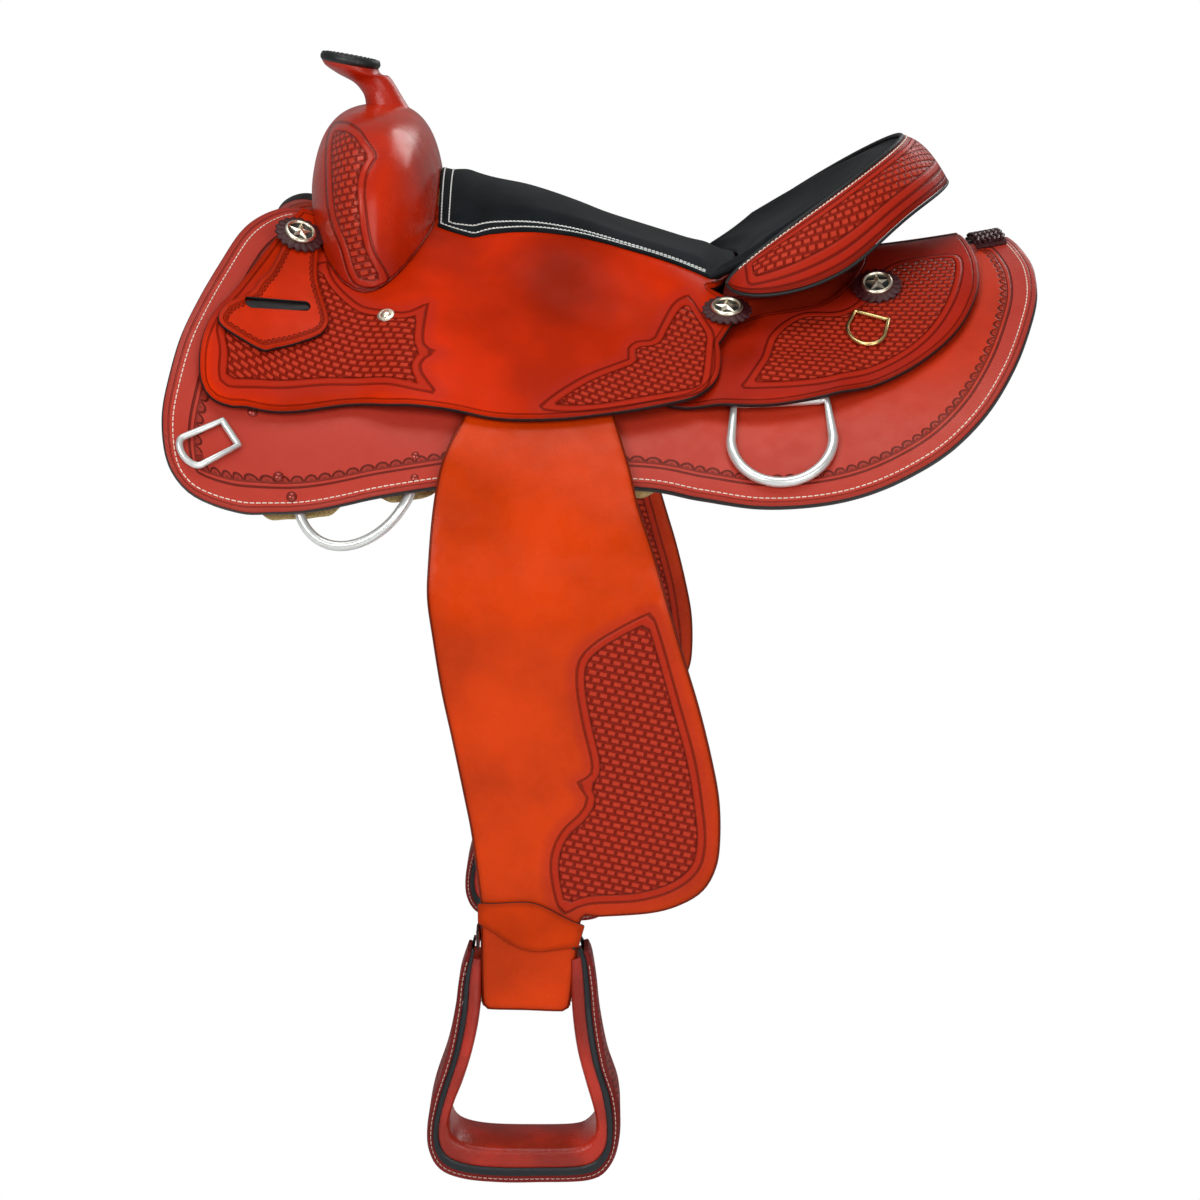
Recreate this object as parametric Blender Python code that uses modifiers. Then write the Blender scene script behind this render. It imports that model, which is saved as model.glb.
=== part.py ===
"""Draft horse saddle, western pattern, built as separate pieces at their real size.

Frame: metres, +Z up. The horse faces -X, the near (left) side is -Y. The origin is on the
centre plane, on the horse's back at the lowest point of the seat.
"""
import math

import bmesh
import bpy
from mathutils import Matrix, Vector
from mathutils.geometry import delaunay_2d_cdt

MM = 0.001

# The horse's back that the saddle is shaped to
BACK_WIDTH = 0.310
BACK_DROP = 0.215
SPINE_ROUND = 0.040
LOW_POINT_X = 0.080
WITHERS_RISE = 0.094
WITHERS_LENGTH = 0.360
LOIN_RISE = 0.022
LOIN_LENGTH = 0.250
SLOPE_REAR = 0.18
SLOPE_GAIN = 0.24
SLOPE_START_X = -0.11
SLOPE_LENGTH = 0.17

# Thicknesses of the layers and the room between them
TOUCH_GAP = 0.0004
LAYER_GAP = 0.0009
FLEECE_THICK = 0.012
FLEECE_AT_RING = 0.002
RING_ROOM = 0.0012
RING_PRESS_X = -0.205
RING_PRESS_HALF = 0.150
RING_PRESS_DOWN = 0.275
RING_PRESS_FADE = 0.030
SKIRT_EDGE_AT_RING = 0.362
SKIRT_THICK = 0.0075
JOCKEY_THICK = 0.005
REAR_JOCKEY_THICK = 0.0045
REAR_JOCKEY_GAP = 0.0045
REAR_JOCKEY_BULGE = 0.0055
BULGE_HALF_LENGTH = 0.078
BULGE_HALF_DOWN = 0.070
BULGE_BELOW_BAR = 0.0045
BULGE_FADE = 0.036
STIRRUP_LEATHER_THICK = 0.0026
STIRRUP_LEATHER_GAP = 0.0044
STRAP_GAP = 0.0008
FENDER_THICK = 0.0035
FENDER_GAP = 0.0026
KEEPER_THICK = 0.004
ROSETTE_THICK = 0.002
ROSETTE_GAP = 0.0014
SEAT_GAP = 0.0008
BAR_SEAT_STEP = 0.0030
BAR_REAR_STEP = 0.0055
BAR_SEAT_STEP_X = -0.180
BAR_REAR_STEP_X = 0.020
BAR_STEP_LENGTH = 0.025
ON_LEATHER_GAP = 0.0012
CONCHO_THICK = 0.0024
GRID_X = 0.040
GRID_DOWN = 0.026

# The seat
SEAT_FRONT_X = -0.137
PAD_THICK = 0.010
PAD_EDGE_THICK = 0.004
PAD_ROLL = 0.018
SEAT_FALL = 0.075
SEAT_RISE_X = -0.205
SEAT_RISE_LENGTH = 0.068
SEAT_PAD_END_X = 0.090
JOCKEY_RISE_X = -0.20
JOCKEY_RISE_LENGTH = 0.05
CREASE_X = 0.085
CREASE_DEPTH = 0.036
CREASE_HALF = 0.112
CANTLE_END_X = 0.105
CANTLE_DEPTH = 0.157
CANTLE_HALF = 0.135
CANTLE_END_Z = 0.019
CANTLE_RISE = 0.110
ROLL_WIDTH = 0.039
ROLL_THICK = 0.005
CANTLE_WALL = 0.012
CANTLE_FOOT = 0.72
CANTLE_HOLLOW = 0.008
ROLL_END_ANGLE = 87.0
CANTLE_SPAN = 80.0
TREE_SPAN = 64.0

# The swell, its wooden fork and the horn
SWELL_X = -0.192
SWELL_HALF_LENGTH = 0.057
SWELL_HALF_WIDTH = 0.165
SWELL_SHOULDER_Z = 0.030
SWELL_TOP_Z = 0.157
SWELL_THICK = 0.004
SWELL_LOWEST_Z = -0.12
SWELL_ROUND = 3.2
SWELL_SQUARE = 2.3
GULLET_HALF_WIDTH = 0.060
GULLET_TOP_Z = 0.100
HORN_CAP_RADIUS = 0.0255
HORN_CAP_THICK = 0.0075
HORN_CAP_CENTRE = (-0.2155, 0.0, 0.1945)
HORN_TILT = 10.5

# Fender, stirrup leather, bolt and stirrup
HANG_X = -0.050
HANG_START = 0.310
HANG_BEND = 0.165
HANG_BLEND = 0.100
HANG_ANGLE = 91.0
NECK_X = -0.059
NECK_HALF = 0.0352
NECK_MIDDLE = 0.740
BOLT_RADIUS = 0.005
BOLT_GAP = 0.0005
BOLT_HALF = 0.050
STIRRUP_DEPTH_TOP = 0.032
STIRRUP_DEPTH_TREAD = 0.060
STIRRUP_SIDE_GAP = 0.0012
STIRRUP_HALF_WIDTH = 0.080
STRAP_THICK = 0.003
STRAP_START = 0.260
STRAP_END = 0.702
BAND_TOP_ABOVE_BOLT = 0.0600
BAND_HEIGHT = 0.0135
BAND_ROOM = 0.0035
HOBBLE_MIDDLE = 0.680

# Rings
RIGGING_WIRE = 0.0036
COLLAR_WIRE = 0.0026
STRING_WIRE = 0.0016
FRONT_BAR = ((-0.2365, 0.327), (-0.1465, 0.321))
FRONT_TIP = (-0.195, 0.386)
RIGGING_BAR = ((0.1055, 0.2305), (0.1855, 0.2305))
RIGGING_TIP = (0.1450, 0.3095)
RIGGING_STRAP_THICK = 0.0028
COLLAR_BAR = ((-0.3035, 0.309), (-0.2885, 0.323))
COLLAR_TIP = (-0.3300, 0.3555)
STRING_BAR = ((0.2120, 0.1345), (0.2410, 0.1525))
STRING_TIP = (0.2150, 0.1770)
FENDER_PIVOT = 0.265
CONCHO_RADIUS = 0.0132
ROSETTE_RADIUS = 0.0200
LACING_X = 0.328
LACING_LENGTH = 0.026
LACING_HALF = 0.034
LACING_THICK = 0.003

SKIRT_UNDER = FLEECE_THICK + LAYER_GAP
SKIRT_TOP = SKIRT_UNDER + SKIRT_THICK
REAR_JOCKEY_UNDER = SKIRT_TOP + REAR_JOCKEY_GAP
REAR_JOCKEY_TOP = REAR_JOCKEY_UNDER + REAR_JOCKEY_THICK
STRAP_UNDER = SKIRT_TOP + STIRRUP_LEATHER_GAP
FENDER_UNDER = STRAP_UNDER + STIRRUP_LEATHER_THICK + STRAP_GAP
FENDER_TOP_FACE = FENDER_UNDER + FENDER_THICK
JOCKEY_UNDER = FENDER_TOP_FACE + FENDER_GAP
RING_LIFT = SKIRT_UNDER - RING_ROOM - RIGGING_WIRE
BAR_UNDER = SKIRT_TOP + 2 * LAYER_GAP
BAR_TOP = JOCKEY_UNDER - LAYER_GAP

# Outlines: distance along the saddle and down around the back from the spine, in millimetres
SKIRT_OUTLINE = ((-250, 62), (-276, 85), (-304, 134), (-328, 215), (-344, 293), (-346, 335),
                 (-331, 376), (-284, 375), (-235, 360), (-133, 347), (-57, 323), (31, 313),
                 (126, 330), (174, 330), (213, 323), (250, 308), (283, 287), (313, 255),
                 (337, 214), (354, 171), (365, 131), (369, 91), (366, 50), (358, 7, "corner"),
                 (250, 7, "corner"), (60, 26), (-150, 50))
FLEECE_INSET = 0.004
JOCKEY_EDGE = ((-260, 84), (-274, 120), (-287, 155), (-303, 196), (-317, 226), (-324, 252),
               (-323, 290), (-298, 299), (-203, 274), (-157, 282), (-99, 282), (-46, 271),
               (2, 257), (50, 243), (78, 233), (95, 216), (99, 193), (97, 176, "corner"),
               (107, 163), (116, 140), (110, 118))
REAR_JOCKEY_OUTLINE = ((318, 5, "corner"), (322, 55), (322, 90), (316, 127), (298, 167),
                       (271, 196), (235, 219), (190, 236), (139, 241), (95, 239), (45, 232),
                       (40, 205), (70, 165), (130, 128), (190, 112), (222, 60),
                       (230, 5, "corner"))
KEEPER_OUTLINE = ((-266, 110), (-288, 181), (-312, 217), (-316, 240), (-290, 247),
                  (-262, 245), (-226, 222), (-224, 195), (-240, 150), (-242, 112))
KEEPER_SLOT = ((-295, 216), (-247, 202))
KEEPER_SLOT_WIDTH = 0.008
BAR_OUTLINE = ((-228, 50), (-227, 98), (-212, 120), (-198, 112), (-186, 88), (-166, 70), (-110, 74),
               (-40, 90), (60, 94), (150, 90), (196, 70), (198, 42), (0, 36))
FENDER_OUTLINE = ((-85, 222, "corner"), (-108, 282), (-125, 332), (-134, 400), (-124, 493),
                  (-108, 575), (-98, 641), (-94.2, 680, "corner"), (-94.2, 757.5, "corner"),
                  (-23.8, 757.5, "corner"), (-23.2, 685, "corner"), (0, 681), (40, 677),
                  (70, 668), (90, 643), (95, 612), (88, 550), (67, 472), (43, 388), (24, 304),
                  (0, 222, "corner"))
HOBBLE_OUTLINE = ((-99, 667, "corner"), (-64, 666), (-40, 672), (-10, 686, "corner"),
                  (-17, 704, "corner"), (-46, 708), (-71, 702), (-99, 684, "corner"))
RIGGING_STRAP_OUTLINE = ((125, 165, "corner"), (163, 165, "corner"), (163, 223, "corner"),
                         (125, 223, "corner"))

# Stations along the seat: place, height of its middle and edge, and half its width
SEAT_STATIONS = ((-0.137, 0.113, 0.051, 0.070), (-0.10, 0.099, 0.057, 0.081),
                 (-0.06, 0.090, 0.061, 0.093), (-0.02, 0.076, 0.058, 0.104),
                 (0.02, 0.058, 0.049, 0.111), (0.06, 0.045, 0.037, 0.112),
                 (0.10, 0.039, 0.020, 0.106))

# Stations down the stirrup's leg: height, half the inner width and half the outer width
STIRRUP_LEG = ((-0.5005, 0.0364, 0.0450), (-0.520, 0.0364, 0.0545), (-0.550, 0.0375, 0.0575),
               (-0.580, 0.0440, 0.0650), (-0.611, 0.0540, 0.0755), (-0.634, 0.0610, 0.0800))
TREAD_TOP_Z = -0.6640
TREAD_THICK = 0.0205
BOLT_Z = -0.5345

COLOURS = {
    "saddle_leather": ((0.58, 0.055, 0.012), 0.38, 0.0),
    "skirt_leather": ((0.44, 0.055, 0.035), 0.42, 0.0),
    "fender_leather": ((0.60, 0.075, 0.015), 0.45, 0.0),
    "dark_leather": ((0.16, 0.020, 0.018), 0.50, 0.0),
    "black_suede": ((0.010, 0.014, 0.016), 0.95, 0.0),
    "black_leather": ((0.012, 0.012, 0.012), 0.50, 0.0),
    "fleece": ((0.58, 0.42, 0.18), 1.0, 0.0),
    "wood": ((0.45, 0.27, 0.12), 0.65, 0.0),
    "stirrup_leather": ((0.36, 0.045, 0.028), 0.45, 0.0),
    "steel": ((0.68, 0.69, 0.67), 0.22, 1.0),
    "silver": ((0.80, 0.74, 0.62), 0.25, 1.0),
    "brass": ((0.70, 0.55, 0.28), 0.28, 1.0),
}


def clear_scene():
    """Remove whatever the scene holds."""
    for item in list(bpy.data.objects):
        bpy.data.objects.remove(item, do_unlink=True)


def make_collection(name):
    """Make a collection in the scene."""
    made = bpy.data.collections.new(name)
    bpy.context.scene.collection.children.link(made)
    return made


def make_material(name):
    """Make the plain finish of a piece."""
    colour, roughness, metallic = COLOURS[name]
    made = bpy.data.materials.new(name)
    made.use_nodes = True
    shader = made.node_tree.nodes["Principled BSDF"]
    shader.inputs["Base Color"].default_value = (*colour, 1.0)
    shader.inputs["Roughness"].default_value = roughness
    shader.inputs["Metallic"].default_value = metallic
    made.diffuse_color = (*colour, 1.0)
    return made


clear_scene()
SADDLE = make_collection("draft_horse_saddle")
CUTTERS = make_collection("cutters")
MATERIALS = {name: make_material(name) for name in COLOURS}


def ease(t):
    """Go smoothly from 0 to 1."""
    t = min(1.0, max(0.0, t))
    return t * t * (3.0 - 2.0 * t)


def station(x, column):
    """Read a column of the seat's stations at x along a smooth curve."""
    rows = SEAT_STATIONS
    if x <= rows[0][0]:
        return rows[0][column]
    if x >= rows[-1][0]:
        return rows[-1][column]
    i = max(k for k in range(len(rows) - 1) if rows[k][0] <= x)
    before, after = max(i - 1, 0), min(i + 2, len(rows) - 1)
    step = rows[i + 1][0] - rows[i][0]
    t = (x - rows[i][0]) / step
    start = (rows[i + 1][column] - rows[before][column]) / (rows[i + 1][0] - rows[before][0]) * step
    end = (rows[after][column] - rows[i][column]) / (rows[after][0] - rows[i][0]) * step
    return ((2 * t**3 - 3 * t**2 + 1) * rows[i][column] + (t**3 - 2 * t**2 + t) * start
            + (3 * t**2 - 2 * t**3) * rows[i + 1][column] + (t**3 - t**2) * end)


def back(x, down):
    """Give the point of the horse's back, down being the girth from the spine, near side first."""
    angle = down / BACK_WIDTH
    y = BACK_WIDTH * math.sin(angle)
    if x > LOW_POINT_X:
        spine = LOIN_RISE * ((x - LOW_POINT_X) / LOIN_LENGTH) ** 2
    else:
        spine = WITHERS_RISE * ((LOW_POINT_X - x) / WITHERS_LENGTH) ** 2
    slope = SLOPE_REAR + SLOPE_GAIN * ease((SLOPE_START_X - x) / SLOPE_LENGTH)
    side = math.hypot(y, SPINE_ROUND) - SPINE_ROUND
    z = spine - BACK_DROP * (1 - math.cos(angle)) - slope * side
    return Vector((x, -y, z))


def outward(x, down):
    """Give the direction out of the back at a point."""
    step = 1e-4
    along = back(x + step, down) - back(x - step, down)
    around = back(x, down + step) - back(x, down - step)
    normal = around.cross(along).normalized()
    return normal if normal.z > 0 else -normal


def layer(x, down, lift):
    """Give the point at a height above the back."""
    return back(x, down) + lift * outward(x, down)


def layer_height(x, half, lift):
    """Give the height of a layer at a distance from the centre plane."""
    down = math.asin(min(0.99, half / BACK_WIDTH)) * BACK_WIDTH
    for _ in range(6):
        down += half + layer(x, down, lift).y
    return layer(x, down, lift).z


def jockey_lift(x):
    """The seat leather lies low at the front and rides over the fender behind it."""
    return REAR_JOCKEY_UNDER + (JOCKEY_UNDER - REAR_JOCKEY_UNDER) * ease((x - JOCKEY_RISE_X) / JOCKEY_RISE_LENGTH)


def seat_leather(x, down, above=0.0):
    """Give a point on the underside of the seat leather, or as far above it as asked."""
    lift = jockey_lift(x) + above
    point = layer(x, down, lift)
    half = abs(point.y)
    width = station(point.x, 3)
    drop = JOCKEY_THICK - above
    middle = station(point.x, 1) - PAD_THICK - drop
    edge = station(point.x, 2) - PAD_EDGE_THICK - drop
    share = ease((point.x - SEAT_RISE_X) / SEAT_RISE_LENGTH)
    at_width = layer_height(x, width, lift)
    edge = max(edge, at_width)
    raised = (edge - at_width) * share
    if half < width:
        shell = edge + (middle - edge) * (1 - (half / width) ** 2)
        point.z += (shell - point.z) * share
    else:
        point.z += raised * (1 - ease((half - width) / SEAT_FALL))
    return point


def seat_place_at(x, half, above=0.0):
    """Find the place along and down the back where the seat leather has a given x and half."""
    along, down = x, math.asin(min(0.99, half / BACK_WIDTH)) * BACK_WIDTH
    for _ in range(8):
        point = seat_leather(along, down, above)
        along += x - point.x
        down += half - abs(point.y)
    return along, down


def seat_height(x, half, above=0.0):
    """Give the height of the seat leather at a distance from the centre plane."""
    return seat_leather(*seat_place_at(x, half, above), above).z


def rear_lift(x, down):
    """The rear jockey bulges over the bar of the rigging ring."""
    along = sum(place[0] for place in RIGGING_BAR) / 2
    around = RIGGING_BAR[0][1] + BULGE_BELOW_BAR
    over = ease((BULGE_HALF_LENGTH - abs(x - along)) / BULGE_FADE)
    over *= ease((BULGE_HALF_DOWN - abs(abs(down) - around)) / BULGE_FADE)
    return REAR_JOCKEY_UNDER + REAR_JOCKEY_BULGE * over


def hang_profile(down, lift):
    """Give how far out and how high the fender's leather lies where it hangs."""
    step = 1e-4
    start = layer(HANG_X, HANG_START, FENDER_TOP_FACE)
    slope = (layer(HANG_X, HANG_START + step, FENDER_TOP_FACE)
             - layer(HANG_X, HANG_START - step, FENDER_TOP_FACE))
    first = math.atan2(-slope.z, -slope.y)
    last = math.radians(HANG_ANGLE)
    out, height = -start.y, start.z
    length = down - HANG_START
    count = 24
    for i in range(count):
        angle = first + (last - first) * ease((i + 0.5) * length / count / HANG_BEND)
        out += length / count * math.cos(angle)
        height -= length / count * math.sin(angle)
    angle = first + (last - first) * ease(length / HANG_BEND)
    inward = FENDER_TOP_FACE - lift
    return out - inward * math.sin(angle), height - inward * math.cos(angle)


def hanging(x, down, lift):
    """Give a point of the fender: it follows the skirt and then hangs straight."""
    side = -1.0 if down > 0 else 1.0
    reach = abs(down)
    share = ease((reach - HANG_START) / HANG_BLEND)
    on_back = layer(x, min(reach, HANG_START + HANG_BLEND), lift)
    if reach <= HANG_START:
        return Vector((x, side * -on_back.y, on_back.z))
    out, height = hang_profile(reach, lift)
    out = -on_back.y * (1 - share) + out * share
    height = on_back.z * (1 - share) + height * share
    return Vector((x, side * out, height))


def spline(points, step, closed=True):
    """Run a smooth curve through the points of an outline in millimetres, keeping its corners."""
    places = [Vector(p[:2]) * MM for p in points]
    sharp = [len(p) > 2 for p in points]
    count = len(places)
    result = []
    for i in range(count if closed else count - 1):
        a, b = places[i], places[(i + 1) % count]
        before = a if sharp[i] or (not closed and i == 0) else places[i - 1]
        past = (i + 2) % count
        after = b if sharp[(i + 1) % count] or (not closed and i == count - 2) else places[past]
        pieces = max(1, round((b - a).length / step))
        for k in range(pieces):
            t = k / pieces
            point = 0.5 * (2 * a + (b - before) * t + (2 * before - 5 * a + 4 * b - after) * t**2
                           + (3 * a - before - 3 * b + after) * t**3)
            result.append(point)
    if not closed:
        result.append(places[-1])
    return result


def inside(point, loop):
    """Tell whether a flat point lies in a closed loop."""
    odd = False
    for i, a in enumerate(loop):
        b = loop[i - 1]
        if (a.y > point.y) != (b.y > point.y):
            if point.x < (b.x - a.x) * (point.y - a.y) / (b.y - a.y) + a.x:
                odd = not odd
    return odd


def distance_to(point, loop):
    """Give how far a flat point is from a closed loop."""
    best = 1e9
    for i, a in enumerate(loop):
        b = loop[i - 1]
        span = b - a
        t = max(0.0, min(1.0, (point - a).dot(span) / max(span.length_squared, 1e-12)))
        best = min(best, (point - a - span * t).length)
    return best


def flat_faces(loop, holes=(), step_x=GRID_X, step_down=GRID_DOWN, lines=()):
    """Fill a loop with triangles that are small enough to bend over the back."""
    points = list(loop)
    edges = [(i, (i + 1) % len(loop)) for i in range(len(loop))]
    for hole in holes:
        first = len(points)
        points += hole
        edges += [(first + i, first + (i + 1) % len(hole)) for i in range(len(hole))]
    for line in lines:
        first = len(points)
        points += line
        edges += [(first + i, first + i + 1) for i in range(len(line) - 1)]
    low_x = math.floor(min(p.x for p in loop) / step_x)
    high_x = math.ceil(max(p.x for p in loop) / step_x)
    low_y = math.floor(min(p.y for p in loop) / step_down)
    high_y = math.ceil(max(p.y for p in loop) / step_down)
    near = 0.40 * min(step_x, step_down)
    for i in range(low_x, high_x + 1):
        for k in range(low_y, high_y + 1):
            p = Vector(((i + 0.5 * (k % 2)) * step_x, k * step_down))
            clear = distance_to(p, loop) > near and all(distance_to(p, h) > near for h in holes)
            clear = clear and all((p - q).length > near for line in lines for q in line)
            if clear and inside(p, loop) and not any(inside(p, h) for h in holes):
                points.append(p)
    places, _, faces, _, _, _ = delaunay_2d_cdt(points, edges, [], 0, 1e-7)
    kept = []
    for face in faces:
        middle = sum((places[i] for i in face), Vector((0, 0))) / len(face)
        if inside(middle, loop) and not any(inside(middle, h) for h in holes):
            kept.append(face)
    return places, kept


def add_object(name, mesh, material, collection=None):
    """Put a mesh in the scene under its name."""
    made = bpy.data.objects.new(name, mesh)
    (collection or SADDLE).objects.link(made)
    if material:
        mesh.materials.clear()
        mesh.materials.append(MATERIALS[material])
    return made


def mesh_of(name, points, faces):
    """Make a mesh without loose points and with its faces pointing one way."""
    mesh = bpy.data.meshes.new(name)
    mesh.from_pydata(points, [], faces)
    work = bmesh.new()
    work.from_mesh(mesh)
    loose = [v for v in work.verts if not v.link_faces]
    bmesh.ops.delete(work, geom=loose, context="VERTS")
    work.to_mesh(mesh)
    work.free()
    return mesh


def smooth_shade(item, angle=40.0):
    """Shade round forms smooth and keep their sharp edges."""
    item.data.shade_smooth()
    item.data.set_sharp_from_angle(angle=math.radians(angle))


def sheet(name, loop, surface, thick, material, holes=(), step_x=GRID_X, step_down=GRID_DOWN):
    """Make a piece of leather: a flat outline laid over a surface and given its thickness."""
    places, faces = flat_faces(loop, holes, step_x, step_down)
    points = [surface(p.x, p.y) for p in places]
    made = add_object(name, mesh_of(name, points, [tuple(reversed(f)) for f in faces]), material)
    leather = made.modifiers.new("thickness", "SOLIDIFY")
    leather.thickness = thick
    leather.offset = 1.0
    leather.use_even_offset = False
    smooth_shade(made)
    return made


def slab(name, loop, under, over, material, step_x=GRID_X, lines=()):
    """Make a closed soft layer between two surfaces that share an outline."""
    places, faces = flat_faces(loop, (), step_x, GRID_DOWN, lines)
    count = len(places)
    points = [under(p.x, p.y) for p in places] + [over(p.x, p.y) for p in places]
    solid = [tuple(f) for f in faces]
    solid += [tuple(i + count for i in reversed(f)) for f in faces]
    uses = {(a, face[(i + 1) % len(face)]) for face in faces for i, a in enumerate(face)}
    for a, b in sorted(uses):
        if (b, a) not in uses:
            solid.append((b, a, a + count, b + count))
    made = add_object(name, mesh_of(name, points, solid), material)
    smooth_shade(made)
    return made


def grid_solid(name, under, over, count_u, count_v, material):
    """Make a closed form between two surfaces that are read on a square of rows and columns."""
    points, faces = [], []
    for surface in (under, over):
        for i in range(count_u + 1):
            for k in range(count_v + 1):
                points.append(surface(i / count_u, k / count_v))
    row = count_v + 1
    layer_size = (count_u + 1) * row
    for i in range(count_u):
        for k in range(count_v):
            a = i * row + k
            faces.append((a, a + 1, a + row + 1, a + row))
            faces.append((a + layer_size, a + row + layer_size, a + row + 1 + layer_size,
                          a + 1 + layer_size))
    rim = [k for k in range(row)]
    rim += [i * row + count_v for i in range(1, count_u + 1)]
    rim += [count_u * row + k for k in range(count_v - 1, -1, -1)]
    rim += [i * row for i in range(count_u - 1, 0, -1)]
    for i, a in enumerate(rim):
        b = rim[(i + 1) % len(rim)]
        faces.append((a, a + layer_size, b + layer_size, b))
    made = add_object(name, mesh_of(name, points, faces), material)
    turn_outward(made)
    smooth_shade(made)
    return made


def turn_outward(item):
    """Turn all faces of a closed mesh outward."""
    work = bmesh.new()
    work.from_mesh(item.data)
    bmesh.ops.recalc_face_normals(work, faces=work.faces)
    work.to_mesh(item.data)
    work.free()


def as_cutter(item):
    """Move an object to the cutters."""
    CUTTERS.objects.link(item)
    SADDLE.objects.unlink(item)


def cut(item, cutter, operation="DIFFERENCE"):
    """Cut a piece with a cutter, or join the two."""
    action = item.modifiers.new(f"{operation.lower()}_{cutter.name}", "BOOLEAN")
    action.operation = operation
    action.solver = "EXACT"
    action.object = cutter
    cutter.hide_render = True
    cutter.display_type = "WIRE"
    return action


def to_mesh_object(item):
    """Turn an object with its modifiers, or a curve, into a plain welded mesh."""
    bpy.context.view_layer.update()
    graph = bpy.context.evaluated_depsgraph_get()
    mesh = bpy.data.meshes.new_from_object(item.evaluated_get(graph))
    work = bmesh.new()
    work.from_mesh(mesh)
    bmesh.ops.remove_doubles(work, verts=work.verts, dist=1e-6)
    bmesh.ops.recalc_face_normals(work, faces=work.faces)
    work.to_mesh(mesh)
    work.free()
    name, place = item.name, item.matrix_world.copy()
    group = item.users_collection[0]
    bpy.data.objects.remove(item, do_unlink=True)
    made = bpy.data.objects.new(name, mesh)
    made.matrix_world = place
    group.objects.link(made)
    return made


def tube(name, path, radius, material, closed=True, resolution=2, radii=None, collection=None):
    """Make a wire, ring or rod along a path."""
    data = bpy.data.curves.new(name, "CURVE")
    data.dimensions = "3D"
    data.bevel_depth = radius
    data.bevel_resolution = resolution
    data.use_fill_caps = True
    line = data.splines.new("POLY")
    line.points.add(len(path) - 1)
    for i, place in enumerate(path):
        line.points[i].co = (*place, 1.0)
        line.points[i].radius = radii[i] if radii else 1.0
    line.use_cyclic_u = closed
    line.use_smooth = True
    made = bpy.data.objects.new(name, data)
    (collection or SADDLE).objects.link(made)
    if material:
        data.materials.append(MATERIALS[material])
    return made


def flat_plate(name, loops, thick, material):
    """Make a flat plate with holes from closed outlines."""
    data = bpy.data.curves.new(name, "CURVE")
    data.dimensions = "2D"
    data.fill_mode = "BOTH"
    data.extrude = thick / 2
    for loop in loops:
        line = data.splines.new("POLY")
        line.points.add(len(loop) - 1)
        for i, place in enumerate(loop):
            line.points[i].co = (place[0], place[1], 0.0, 1.0)
        line.use_cyclic_u = True
    made = bpy.data.objects.new(name, data)
    SADDLE.objects.link(made)
    data.materials.append(MATERIALS[material])
    return made


def mirrored(loop, side):
    """Give an outline on the near side or the far side."""
    return [Vector((p.x, p.y * side)) for p in loop]


SIDES = (("near", 1.0), ("far", -1.0))


def make_skirts():
    """Skirts with the fleece under them; the fleece is pressed thin under the rigging ring."""
    outline = spline(SKIRT_OUTLINE, 0.026)
    middle = Vector((0.0, 0.19))
    lining = [p + (middle - p).normalized() * FLEECE_INSET for p in outline]

    def fleece_top(x, down):
        at_ring = ease((RING_PRESS_HALF - abs(x - RING_PRESS_X)) / RING_PRESS_FADE)
        at_ring *= ease((abs(down) - RING_PRESS_DOWN) / RING_PRESS_FADE)
        return layer(x, down, FLEECE_THICK - (FLEECE_THICK - FLEECE_AT_RING) * at_ring)

    for side, sign in SIDES:
        sheet(f"skirt_{side}", mirrored(outline, sign), lambda x, d: layer(x, d, SKIRT_UNDER),
              SKIRT_THICK, "skirt_leather")
        slab(f"fleece_{side}", mirrored(lining, sign), lambda x, d: layer(x, d, 0.0),
             fleece_top, "fleece")


def seat_outline():
    """Give the outline of the seat leather and the two lines where the seat pad ends on it."""
    edge = spline(JOCKEY_EDGE, 0.020, closed=False)
    rear = [Vector((CREASE_X + CREASE_DEPTH * math.cos(math.radians(a)) - 0.002,
                    CREASE_HALF * math.sin(math.radians(a)))) for a in range(80, -81, -20)]
    front_edge = seat_place_at(SEAT_FRONT_X - 0.002, 0.0)[0]
    front = [Vector((-0.215, 0.084)), Vector((-0.170, 0.084)), Vector((front_edge - 0.012, 0.05)),
             Vector((front_edge, 0.03)), Vector((front_edge, 0.0))]
    near = list(reversed(edge))
    far_front = [Vector((p.x, -p.y)) for p in reversed(front[:-1])]
    far = [Vector((p.x, -p.y)) for p in reversed(near)]
    loop = rear[::-1] + near + front + far_front + far
    places = [SEAT_FRONT_X + 0.010 + 0.020 * i for i in range(11)]
    on_edge = [seat_place_at(x, station(x, 3)) for x in places]
    seams = [[Vector((x, side * down)) for x, down in on_edge] for side in (1, -1)]
    return loop, seams


def make_jockeys():
    """The seat leather with both jockeys, and the two rear jockeys."""
    loop, seams = seat_outline()
    seat = slab("seat_jockey", loop, seat_leather, lambda x, d: seat_leather(x, d, JOCKEY_THICK),
                "saddle_leather", step_x=0.030, lines=seams)
    hole = make_dome("seat_jockey_hole", SWELL_THICK / 2)
    as_cutter(hole)
    cut(seat, hole)
    outline = spline(REAR_JOCKEY_OUTLINE, 0.026)
    for side, sign in SIDES:
        sheet(f"rear_jockey_{side}", mirrored(outline, sign),
              lambda x, d: layer(x, d, rear_lift(x, d)), REAR_JOCKEY_THICK, "saddle_leather",
              step_x=0.026, step_down=0.022)


def make_leather_form():
    """Make a cutter with the top of the seat leather, for what lies on it."""
    loop, seams = seat_outline()
    made = slab("on_seat_leather", loop, lambda x, d: seat_leather(x, d) - Vector((0, 0, 0.03)),
                lambda x, d: seat_leather(x, d, JOCKEY_THICK) + Vector((0, 0, SEAT_GAP)),
                None, step_x=0.030, lines=seams)
    as_cutter(made)
    return made


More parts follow.
